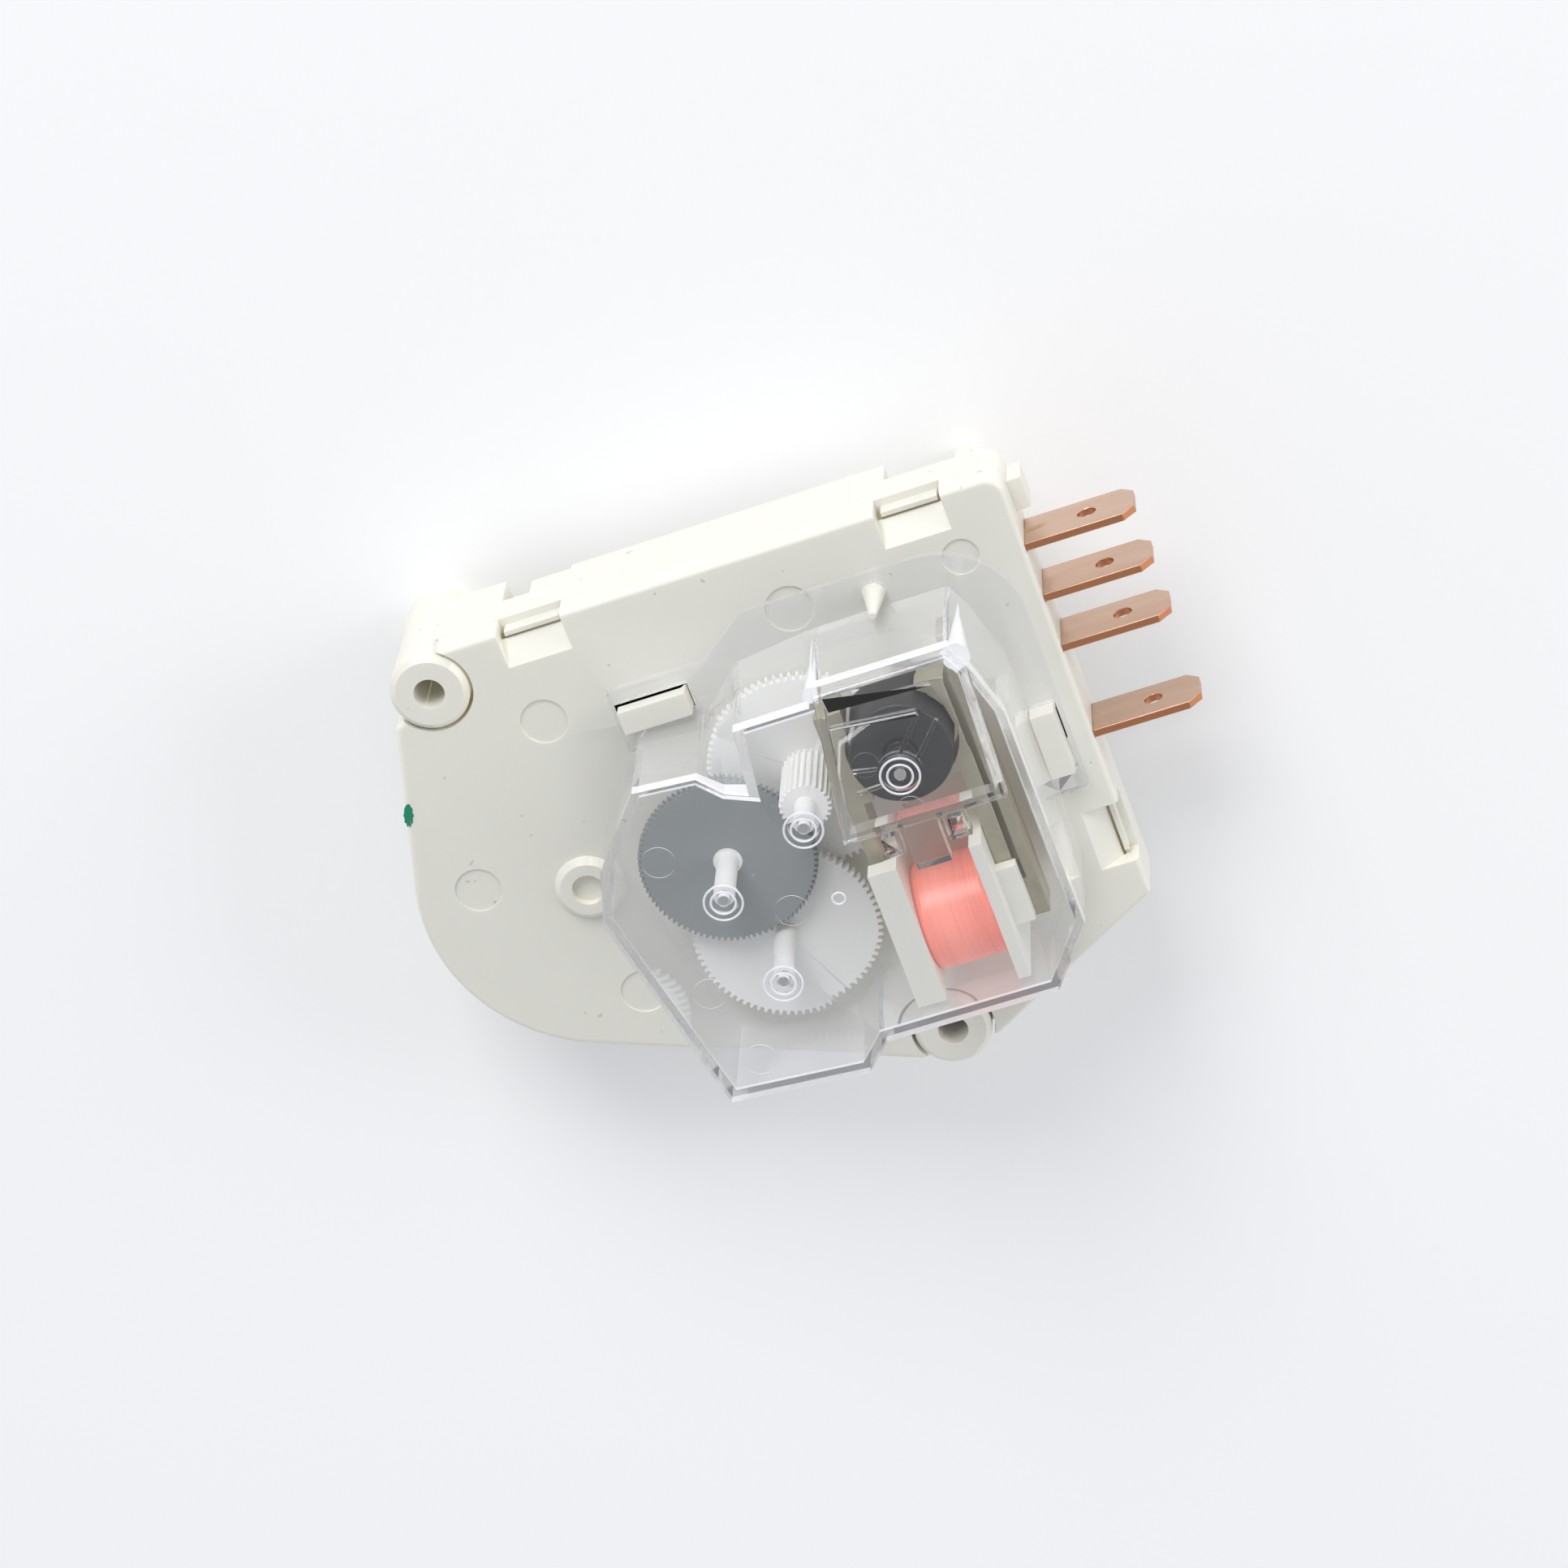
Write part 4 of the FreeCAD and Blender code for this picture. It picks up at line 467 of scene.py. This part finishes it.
@dataclass(frozen=True)
class Clear:
    """A clear moulded plastic that lets the lamps reach what is behind it."""

    name: str
    tint: Tint
    roughness: float = 0.03
    relief: float = 0.08
    relief_deep: float = 0.4 * MM
    # Share taken from transmission everywhere: slight milkiness on the cover, a painted highlight
    # on the rim plastic
    haze_and_painted_highlight: float = 0.006
    # Upright walls are made milkier: a painted sheen standing in for the bright surroundings seen
    # in them
    wall_painted_sheen: float = 0.11
    bending: float = 1.18

    def material(self) -> bpy.types.Material:
        """Builds the material once and returns it."""
        if self.name in bpy.data.materials:
            return bpy.data.materials[self.name]
        material, nodes, shader = new_material(self.name)
        shader.inputs["Base Color"].default_value = (*self.tint, 1.0)
        # Painted sheen: transmission falls on upright walls so they read whiter
        haze_and_painted_highlight = nodes.maths("MULTIPLY", steepness(nodes), self.wall_painted_sheen)
        nodes.join(nodes.maths("SUBTRACT", 1.0 - self.haze_and_painted_highlight, haze_and_painted_highlight),
                   shader.inputs["Transmission Weight"])
        shader.inputs["Roughness"].default_value = self.roughness
        shader.inputs["IOR"].default_value = self.bending
        shader.inputs["Coat Weight"].default_value = 1.0
        shader.inputs["Coat Roughness"].default_value = self.roughness
        bump(nodes, shader, nodes.noise(place_of(nodes), RIPPLES, 2.0), self.relief,
             self.relief_deep)
        film = nodes.add("ShaderNodeBsdfTransparent")
        film.inputs["Color"].default_value = (*self.tint, 1.0)
        path = nodes.add("ShaderNodeLightPath")
        mixer = nodes.add("ShaderNodeMixShader")
        straight = nodes.maths("MAXIMUM", path.outputs["Is Shadow Ray"],
                               path.outputs["Is Diffuse Ray"])
        nodes.join(straight, mixer.inputs[0])
        nodes.join(shader.outputs[0], mixer.inputs[1])
        nodes.join(film.outputs[0], mixer.inputs[2])
        output = material.node_tree.nodes["Material Output"]
        nodes.join(mixer.outputs[0], output.inputs["Surface"])
        return material


@dataclass(frozen=True)
class Metal:
    """A rolled, drawn or ground metal."""

    name: str
    base: Tint
    tarnish: Tint
    amount: float = 1.0
    roughness: float = 0.3
    stretch: Point = (1.0, 1.0, 1.0)
    metallic: float = 1.0
    relief: float = 0.2
    relief_deep: float = 0.05 * MM
    # Colour mixed in where a face turns away from Y: painted shade and reflection for the tabs'
    # sides
    edge: Tint | None = None
    # Emission in the metal's own colour: painted light, used to lift the winding out of its shade
    glow: float = 0.0

    def material(self) -> bpy.types.Material:
        """Builds the material once and returns it."""
        if self.name in bpy.data.materials:
            return bpy.data.materials[self.name]
        material, nodes, shader = new_material(self.name)
        skin = nodes.add("ShaderNodeGroup", node_tree=rolled_metal())
        nodes.join(place_of(nodes, self.stretch), skin.inputs["Vector"])
        skin.inputs["Base"].default_value = (*self.base, 1.0)
        skin.inputs["Tarnish"].default_value = (*self.tarnish, 1.0)
        skin.inputs["Amount"].default_value = self.amount
        skin.inputs["Roughness"].default_value = self.roughness
        colour = skin.outputs["Color"]
        # Painted shade and reflection: faces that stand across Y take the darker edge colour
        if self.edge:
            colour = nodes.mix(steepness(nodes, "Y"), colour, (*self.edge, 1.0))
        nodes.join(colour, shader.inputs["Base Color"])
        nodes.join(skin.outputs["Roughness"], shader.inputs["Roughness"])
        shader.inputs["Metallic"].default_value = self.metallic
        # Painted light: the surface glows in its own colour
        if self.glow > 0.0:
            nodes.join(colour, shader.inputs["Emission Color"])
            shader.inputs["Emission Strength"].default_value = self.glow
        bump(nodes, shader, skin.outputs["Height"], self.relief, self.relief_deep)
        return material


# The cream plastic carries a painted warm glow on its inner faces
CREAM = Moulded("cream_moulding", (0.795, 0.79, 0.73), (0.73, 0.715, 0.64), glow=0.25,
                painted_inner_glow=0.12)
WHITE = Moulded("white_moulding", (0.90, 0.893, 0.865), (0.85, 0.843, 0.815), glow=0.2)
BLACK = Moulded("black_moulding", (0.02, 0.02, 0.021), (0.03, 0.03, 0.03),
                speck=(0.1, 0.1, 0.1), roughness=0.3)
GREY = Moulded("grey_gear_moulding", (0.27, 0.29, 0.29), (0.24, 0.26, 0.26),
               speck=(0.45, 0.45, 0.45), roughness=0.5)
CLEAR = Clear("clear_moulding", (0.97, 0.973, 0.985))
# Mostly milky clear plastic: a painted highlight for the cover's rim, rounded edges, seat rings
# and corner cones
CLEAR_PAINTED_HIGHLIGHT = Clear("clear_rim", (0.96, 0.965, 0.985), roughness=0.12, haze_and_painted_highlight=0.6)
# The copper's edge colour is painted shade and reflection on the tabs' sides
COPPER = Metal("rolled_copper", (0.76, 0.56, 0.44), (0.50, 0.29, 0.19), amount=1.2,
               roughness=0.30, stretch=(0.12, 1.0, 1.0), edge=(0.62, 0.27, 0.14))
# The winding's glow is painted light that brightens it in the shade round it
WIRE = Metal("red_winding", (1.0, 0.36, 0.29), (0.72, 0.15, 0.11), amount=1.5,
             roughness=0.33, stretch=(14.0, 0.4, 0.4), metallic=0.0, relief=0.6, glow=0.2)
LAMINATION = Metal("passivated_lamination", (0.56, 0.53, 0.42), (0.26, 0.23, 0.15),
                   amount=1.6, roughness=0.36, stretch=(1.0, 1.0, 14.0), metallic=0.6)
MAGNET = Metal("ferrite", (0.018, 0.018, 0.019), (0.01, 0.01, 0.011), roughness=0.5,
               metallic=0.0)
SILVER = Metal("contact_silver", (0.88, 0.87, 0.84), (0.55, 0.53, 0.5), roughness=0.25)
STEEL = Metal("drawn_steel", (0.72, 0.72, 0.73), (0.42, 0.41, 0.4), roughness=0.22,
              stretch=(1.0, 1.0, 0.2))
INK = Moulded("green_ink", (0.01, 0.22, 0.13), (0.01, 0.30, 0.18), roughness=0.5)


def smooth(mesh: bpy.types.Mesh, angle: float) -> None:
    """Shades a mesh smooth except across edges sharper than an angle.

    Args:
        mesh: The mesh.
        angle: The angle in degrees.
    """
    work = bmesh.new()
    work.from_mesh(mesh)
    limit = math.radians(angle)
    for face in work.faces:
        face.smooth = True
    for edge in work.edges:
        edge.smooth = len(edge.link_faces) == 2 and edge.calc_face_angle(0.0) < limit
    work.to_mesh(mesh)
    work.free()


def soften(piece: bpy.types.Object, width: float, segments: int = 2,
           angle: float = 32.0) -> None:
    """Rounds a piece's sharp edges with a Bevel modifier.

    Args:
        piece: The object.
        width: Width of the rounding in metres.
        segments: Number of steps in the rounding.
        angle: Edges sharper than this many degrees are rounded.
    """
    rounding = piece.modifiers.new(ROUNDING, "BEVEL")
    rounding.width = width
    rounding.segments = segments
    rounding.limit_method = "ANGLE"
    rounding.angle_limit = math.radians(angle)
    rounding.use_clamp_overlap = True
    rounding.harden_normals = False
    rounding.miter_outer = "MITER_ARC"


def finish_piece(mesh_work: bmesh.types.BMesh, name: str, body: str,
                 material: bpy.types.Material, angle: float = 35.0) -> bpy.types.Object:
    """Turns a bmesh into a piece that rides on a body.

    Args:
        mesh_work: The finished bmesh, which is freed.
        name: The piece's name.
        body: The body that it rides on.
        material: Its material.
        angle: Edges sharper than this many degrees stay sharp.

    Returns:
        The new object.
    """
    mesh = bpy.data.meshes.new(name)
    mesh_work.to_mesh(mesh)
    mesh_work.free()
    smooth(mesh, angle)
    mesh.materials.append(material)
    piece = bpy.data.objects.new(name, mesh)
    bpy.context.scene.collection.objects.link(piece)
    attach(piece, body)
    log.info("built %s: %d faces on %s", name, len(mesh.polygons), body)
    return piece


@dataclass
class Dressed:
    """A CAD node that is shown as a merged copy with rounded edges and its own finish."""

    node: str
    body: str
    slot: Slot
    finish: Moulded | Clear | Metal
    rounding: float = 0.12 * MM
    segments: int = 2
    merge: float = 0.001 * MM
    flat_angle: float = 0.6
    shade_angle: float = 35.0

    def build(self, frame: dict) -> bpy.types.Object:
        """Copies the node's mesh, joins its triangles and dresses the copy.


        Returns:
            The new object.
        """
        work = bmesh.new()
        work.from_mesh(frame["nodes"][self.node].data)
        bmesh.ops.remove_doubles(work, verts=work.verts[:], dist=self.merge)
        bmesh.ops.dissolve_limit(work, angle_limit=math.radians(self.flat_angle),
                                 verts=work.verts[:], edges=work.edges[:],
                                 use_dissolve_boundaries=False)
        for layer in list(work.loops.layers.uv.values()):
            work.loops.layers.uv.remove(layer)
        self.shape(work)
        piece = finish_piece(work, self.node + "_surface", self.body,
                             self.finish.material(), self.shade_angle)
        if self.rounding > 0:
            soften(piece, self.rounding, self.segments)
        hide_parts(self.node)
        return piece

    def shape(self, work: bmesh.types.BMesh) -> None:
        """Changes the merged mesh before it becomes a piece; here nothing.

        Args:
            work: The merged copy of the node's mesh.
        """


@dataclass
class BrightRimCover(Dressed):
    """The clear cover, whose upper edge is a band of much hazier plastic: a painted highlight
    standing in for the bright surroundings seen in its rounded rim.
    """

    band: float = 1.4 * MM
    air_gap: float = 0.03 * MM
    level: float = 0.01 * MM
    flat: float = 0.99

    def shape(self, work: bmesh.types.BMesh) -> None:
        """Lifts the flange off the plate by an air gap and marks the band along the rim.

        Args:
            work: The merged copy of the cover's mesh.
        """
        for vert in work.verts:
            if abs(vert.co.z - PLATE_FRONT) < self.level:
                vert.co.z += self.air_gap
        low = COVER_FACE - self.band
        bmesh.ops.bisect_plane(work, geom=work.verts[:] + work.edges[:] + work.faces[:],
                               dist=self.level / 10, plane_co=(0.0, 0.0, low),
                               plane_no=(0.0, 0.0, 1.0))
        for face in work.faces:
            height = face.calc_center_median().z
            if low < height < COVER_FACE - self.level and abs(face.normal.z) < self.flat:
                face.material_index = 1

    def build(self, frame: dict) -> bpy.types.Object:
        """Builds the cover and gives its rim and its rounded edges the hazy finish that paints
        their highlight.

        Returns:
            The new object.
        """
        piece = super().build(frame)
        # The rim band and the rounded edges take the painted-highlight plastic
        piece.data.materials.append(CLEAR_PAINTED_HIGHLIGHT.material())
        piece.modifiers[ROUNDING].material = 1
        return piece


@dataclass
class Housing:
    """The case, the gear plate and the clear cover."""

    body: str = "housing"
    case_round: float = 0.14 * MM
    plate_round: float = 0.14 * MM
    cover_round: float = 0.3 * MM
    dot_place: Vector = field(default_factory=lambda: mm(-7.3, -12.3, 16.3))
    dot_size: tuple[float, float] = (0.5 * MM, 1.3 * MM)
    dot_lift: float = 0.012 * MM
    dot_turn: float = -20.0
    dot_sides: int = 20
    dot_wobble: float = 0.12
    dot_lobes: float = 3.0

    def add_ink_dot(self) -> bpy.types.Object:
        """Adds the small green dot of ink at the plate's left edge.

        Returns:
            The dot.
        """
        work = bmesh.new()
        lift = Matrix.Translation(self.dot_place + Vector((0.0, 0.0, self.dot_lift)))
        turn = Matrix.Rotation(math.radians(self.dot_turn), 4, "Z")
        scale = Matrix.Diagonal((*self.dot_size, 1.0, 1.0))
        bmesh.ops.create_circle(work, cap_ends=True, segments=self.dot_sides, radius=1.0,
                                matrix=lift @ turn @ scale)
        for count, vert in enumerate(work.verts):
            outward = vert.co - self.dot_place
            vert.co += outward * (self.dot_wobble * math.sin(self.dot_lobes * count))
        return finish_piece(work, "ink_dot", self.body, INK.material())

    def build(self, frame: dict) -> None:
        """Builds the housing's pieces.
        """
        Dressed("back_case", self.body, Slot.CREAM, CREAM, self.case_round).build(frame)
        Dressed("gear_plate", self.body, Slot.CREAM, CREAM, self.plate_round).build(frame)
        self.add_ink_dot()
        BrightRimCover("clear_cover", self.body, Slot.CLEAR, CLEAR,
                       self.cover_round, 3).build(frame)


@dataclass
class ClearDetails:
    """Thin rings that trace the edges of the cover's axle seats and tall cones at its chamber's
    corners, all in hazy plastic: painted highlights.
    """

    body: str = "housing"
    ring_wire: float = 0.12 * MM
    ring_sides: int = 8
    ring_steps: int = 40
    ring_shade_angle: float = 60.0
    seat_rings: tuple[float, float] = (1.95 * MM, 1.25 * MM)
    seats: tuple[tuple[str, float], ...] = (("axle_second_gear", COVER_FACE),
                                            ("axle_grey_gear", COVER_FACE),
                                            ("axle_third_gear", COVER_FACE),
                                            ("axle_rotor", CHAMBER_FACE))
    boss_place: Vector = field(default_factory=lambda: mm(34.3, -28.2, 31.1))
    boss_radius: float = 0.65 * MM
    # Cones of hazy plastic at the chamber's corners: painted highlights
    highlight_flares: tuple[tuple[Point, float], ...] = (((39.2, -6.3, 30.9), 0.85 * MM),
                                               ((53.9, -6.9, 30.9), 1.4 * MM))
    flare_tall: float = 12.0 * MM
    flare_tip: float = 0.05 * MM
    flare_sides: int = 20

    def add_ring(self, work: bmesh.types.BMesh, place: Vector, radius: float) -> None:
        """Adds a thin ring whose top lies level with a place.

        Args:
            work: The mesh that it joins.
            place: The middle of the ring's top.
            radius: The ring's radius.
        """
        start = place + Vector((radius, 0.0, -self.ring_wire))
        turn = Matrix.Rotation(math.radians(90.0), 4, "X")
        circle = bmesh.ops.create_circle(work, segments=self.ring_sides,
                                         radius=self.ring_wire,
                                         matrix=Matrix.Translation(start) @ turn)
        edges = list({edge for vert in circle["verts"] for edge in vert.link_edges})
        bmesh.ops.spin(work, geom=circle["verts"] + edges, cent=place, axis=(0.0, 0.0, 1.0),
                       angle=math.tau, steps=self.ring_steps, use_merge=True,
                       use_duplicate=False)

    def build(self, frame: dict) -> None:
        """Builds the painted highlights: the seat rings and the corner cones.
        """
        # Painted highlight lines round the axle seats
        rings = bmesh.new()
        self.add_ring(rings, self.boss_place, self.boss_radius)
        for axle, face in self.seats:
            low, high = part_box(axle)
            middle = (low + high) / 2
            for radius in self.seat_rings:
                self.add_ring(rings, Vector((middle.x, middle.y, face)), radius)
        bmesh.ops.recalc_face_normals(rings, faces=rings.faces[:])
        finish_piece(rings, "seat_rings", self.body, CLEAR_PAINTED_HIGHLIGHT.material(),
                     self.ring_shade_angle)
        # Painted highlights: tall cones at the chamber's corners
        highlight_flares = bmesh.new()
        for place, radius in self.highlight_flares:
            middle = mm(*place) - Vector((0.0, 0.0, self.flare_tall / 2))
            bmesh.ops.create_cone(highlight_flares, cap_ends=True, segments=self.flare_sides,
                                  radius1=self.flare_tip, radius2=radius,
                                  depth=self.flare_tall,
                                  matrix=Matrix.Translation(middle))
        finish_piece(highlight_flares, "painted_corner_highlights", self.body, CLEAR_PAINTED_HIGHLIGHT.material())


@dataclass
class Terminals:
    """The four flat terminals and the fixed contacts."""

    body: str = "housing"
    names: tuple[str, ...] = ("one", "two", "three", "four")
    edge: float = 0.08 * MM

    def build(self, frame: dict) -> None:
        """Builds the terminals and contact buttons.
        """
        for name in self.names:
            Dressed("terminal_" + name, self.body, Slot.COPPER, COPPER, self.edge).build(frame)
        for node in ("contact_upper", "contact_lower"):
            Dressed(node, self.body, Slot.SILVER, SILVER, self.edge).build(frame)


@dataclass
class Lever:
    """The moving blade with its contact and follower."""

    body: str = "switch_lever"
    blade_edge: float = 0.04 * MM
    contact_edge: float = 0.08 * MM
    nose_edge: float = 0.1 * MM

    def build(self, frame: dict) -> None:
        """Builds the lever's pieces.
        """
        for node, slot, finish, edge in (
                ("moving_blade", Slot.COPPER, COPPER, self.blade_edge),
                ("moving_contact", Slot.SILVER, SILVER, self.contact_edge),
                ("cam_follower", Slot.WHITE, WHITE, self.nose_edge)):
            Dressed(node, self.body, slot, finish, edge).build(frame)


@dataclass
class GearTrain:
    """The gears, the cam and their axles."""

    housing: str = "housing"
    axles: tuple[str, ...] = ("axle_rotor", "axle_second_gear", "axle_grey_gear",
                              "axle_third_gear")
    tooth_edge: float = 0.03 * MM
    axle_edge: float = 0.12 * MM

    def build(self, frame: dict) -> None:
        """Builds the gears from the motor to the cam.
        """
        for node, body, slot, finish in (
                ("second_gear", "second_wheel", Slot.WHITE, WHITE),
                ("grey_gear", "grey_wheel", Slot.GREY, GREY),
                ("grey_gear_hub", "grey_wheel", Slot.WHITE, WHITE),
                ("third_gear", "third_wheel", Slot.WHITE, WHITE),
                ("cam_gear", "cam_wheel", Slot.WHITE, WHITE),
                ("clutch_washer", "cam_wheel", Slot.STEEL, STEEL),
                ("cam", "cam_shaft", Slot.WHITE, WHITE)):
            Dressed(node, body, slot, finish, self.tooth_edge, 1).build(frame)
        for node in self.axles:
            Dressed(node, self.housing, Slot.STEEL, STEEL, self.axle_edge).build(frame)


@dataclass
class Motor:
    """The coil on its bobbin, the laminations and the rotor."""

    body: str = "housing"
    winding_round: float = 0.7 * MM
    winding_segments: int = 4
    sheet_edge: float = 0.05 * MM
    pin_edge: float = 0.05 * MM
    magnet_edge: float = 0.2 * MM
    hub_edge: float = 0.03 * MM

    def build(self, frame: dict) -> None:
        """Builds the motor's pieces.
        """
        Dressed("coil_bobbin", self.body, Slot.CREAM, CREAM).build(frame)
        Dressed("coil_winding", self.body, Slot.WIRE, WIRE, self.winding_round,
                self.winding_segments).build(frame)
        for node in ("yoke_left", "yoke_right", "coil_core"):
            Dressed(node, self.body, Slot.LAMINATION, LAMINATION,
                    self.sheet_edge).build(frame)
        for node in ("coil_pin_left", "coil_pin_right"):
            Dressed(node, self.body, Slot.STEEL, STEEL, self.pin_edge).build(frame)
        Dressed("rotor_magnet", "rotor", Slot.MAGNET, MAGNET, self.magnet_edge).build(frame)
        Dressed("rotor_hub", "rotor", Slot.MAGNET, BLACK, self.hub_edge, 1).build(frame)


@dataclass(frozen=True)
class Lamp:
    """A soft square lamp: its place in metres, its side, its power in watts and its colour."""

    name: str
    place: Point
    size: float
    power: float
    colour: Tint


KEY = Lamp("key_lamp", (0.0, 1.45, 0.80), 0.80, 15.5, (1.0, 0.99, 0.97))
FILL = Lamp("fill_lamp", (1.35, 0.10, 0.55), 0.70, 5.0, (1.0, 0.97, 0.95))


@dataclass
class Studio:
    """The pale floor, the lamps and the camera."""

    target: Vector = field(default_factory=lambda: mm(30.4, -21.3, 16.3))
    towards: Vector = field(default_factory=lambda: Vector((0.1875, 0.4135, 0.891)))
    right: Vector = field(default_factory=lambda: Vector((0.9394, -0.3407, -0.0396)))
    distance: float = 0.45
    focal_pixels: float = 5450.0
    image_pixels: float = 1932.0
    sensor: float = 36.0
    near_limit: float = 0.01
    floor_size: float = 3.0
    floor_colour: Tint = (0.88, 0.885, 0.90)
    floor_light: Tint = (0.97, 0.98, 1.0)
    floor_roughness: float = 0.7
    floor_glow: float = 0.12
    zenith: float = 0.50
    horizon: float = 1.05
    sky_colour: Tint = (0.96, 0.975, 1.0)
    sky_curve: float = 2.0

    def add_camera(self) -> None:
        """Sets the camera where the photograph was taken from."""
        back = self.towards.normalized()
        right = (self.right - back * self.right.dot(back)).normalized()
        up = back.cross(right)
        camera = bpy.data.cameras.new("camera")
        camera.sensor_width = self.sensor
        camera.lens = self.focal_pixels / self.image_pixels * self.sensor
        camera.clip_start = self.near_limit
        view = bpy.data.objects.new("camera", camera)
        place = Matrix((right, up, back)).transposed().to_4x4()
        place.translation = self.target + back * self.distance
        view.matrix_world = place
        bpy.context.scene.collection.objects.link(view)
        bpy.context.scene.camera = view

    def add_floor(self) -> None:
        """Lays the pale floor under the part."""
        work = bmesh.new()
        bmesh.ops.create_grid(work, x_segments=1, y_segments=1, size=self.floor_size / 2)
        mesh = bpy.data.meshes.new("floor")
        work.to_mesh(mesh)
        work.free()
        material, _, shader = new_material("pale_floor")
        shader.inputs["Base Color"].default_value = (*self.floor_colour, 1.0)
        shader.inputs["Roughness"].default_value = self.floor_roughness
        shader.inputs["Emission Color"].default_value = (*self.floor_light, 1.0)
        shader.inputs["Emission Strength"].default_value = self.floor_glow
        mesh.materials.append(material)
        floor = bpy.data.objects.new("floor", mesh)
        bpy.context.scene.collection.objects.link(floor)

    def add_lamp(self, lamp: Lamp) -> None:
        """Adds a soft square lamp that faces the part.

        Args:
            lamp: Its place, size, power and colour.
        """
        light = bpy.data.lights.new(lamp.name, "AREA")
        light.size = lamp.size
        light.energy = lamp.power
        light.color = lamp.colour
        holder = bpy.data.objects.new(lamp.name, light)
        holder.location = lamp.place
        facing = (self.target - Vector(lamp.place)).to_track_quat("-Z", "Y")
        holder.rotation_euler = facing.to_euler()
        bpy.context.scene.collection.objects.link(holder)

    def add_world(self) -> None:
        """Sets the soft light from all round, brightest at the horizon."""
        world = bpy.data.worlds.new("studio")
        world.use_nodes = True
        nodes = NodeTree(world.node_tree)
        direction = nodes.add("ShaderNodeSeparateXYZ")
        nodes.join(nodes.add("ShaderNodeTexCoord").outputs["Generated"],
                   direction.inputs[0])
        slope = nodes.maths("SUBTRACT", 1.0, nodes.maths("ABSOLUTE", direction.outputs["Z"]))
        rise = nodes.maths("MULTIPLY", nodes.maths("POWER", slope, self.sky_curve),
                           self.horizon - self.zenith)
        background = world.node_tree.nodes["Background"]
        background.inputs["Color"].default_value = (*self.sky_colour, 1.0)
        nodes.join(nodes.maths("ADD", rise, self.zenith), background.inputs["Strength"])
        bpy.context.scene.world = world

    def build(self) -> None:
        """Builds the studio."""
        self.add_floor()
        self.add_world()
        for lamp in (KEY, FILL):
            self.add_lamp(lamp)
        self.add_camera()
        bpy.context.scene.view_settings.view_transform = "Standard"
        log.info("studio is lit")


def main() -> None:
    """Builds every sub-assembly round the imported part."""
    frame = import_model()
    for assembly in (Housing(), ClearDetails(), Terminals(), Lever(), GearTrain(), Motor()):
        assembly.build(frame)
        log.info("%s is finished", type(assembly).__name__)
    Studio().build()


if __name__ == "__main__":
    main()
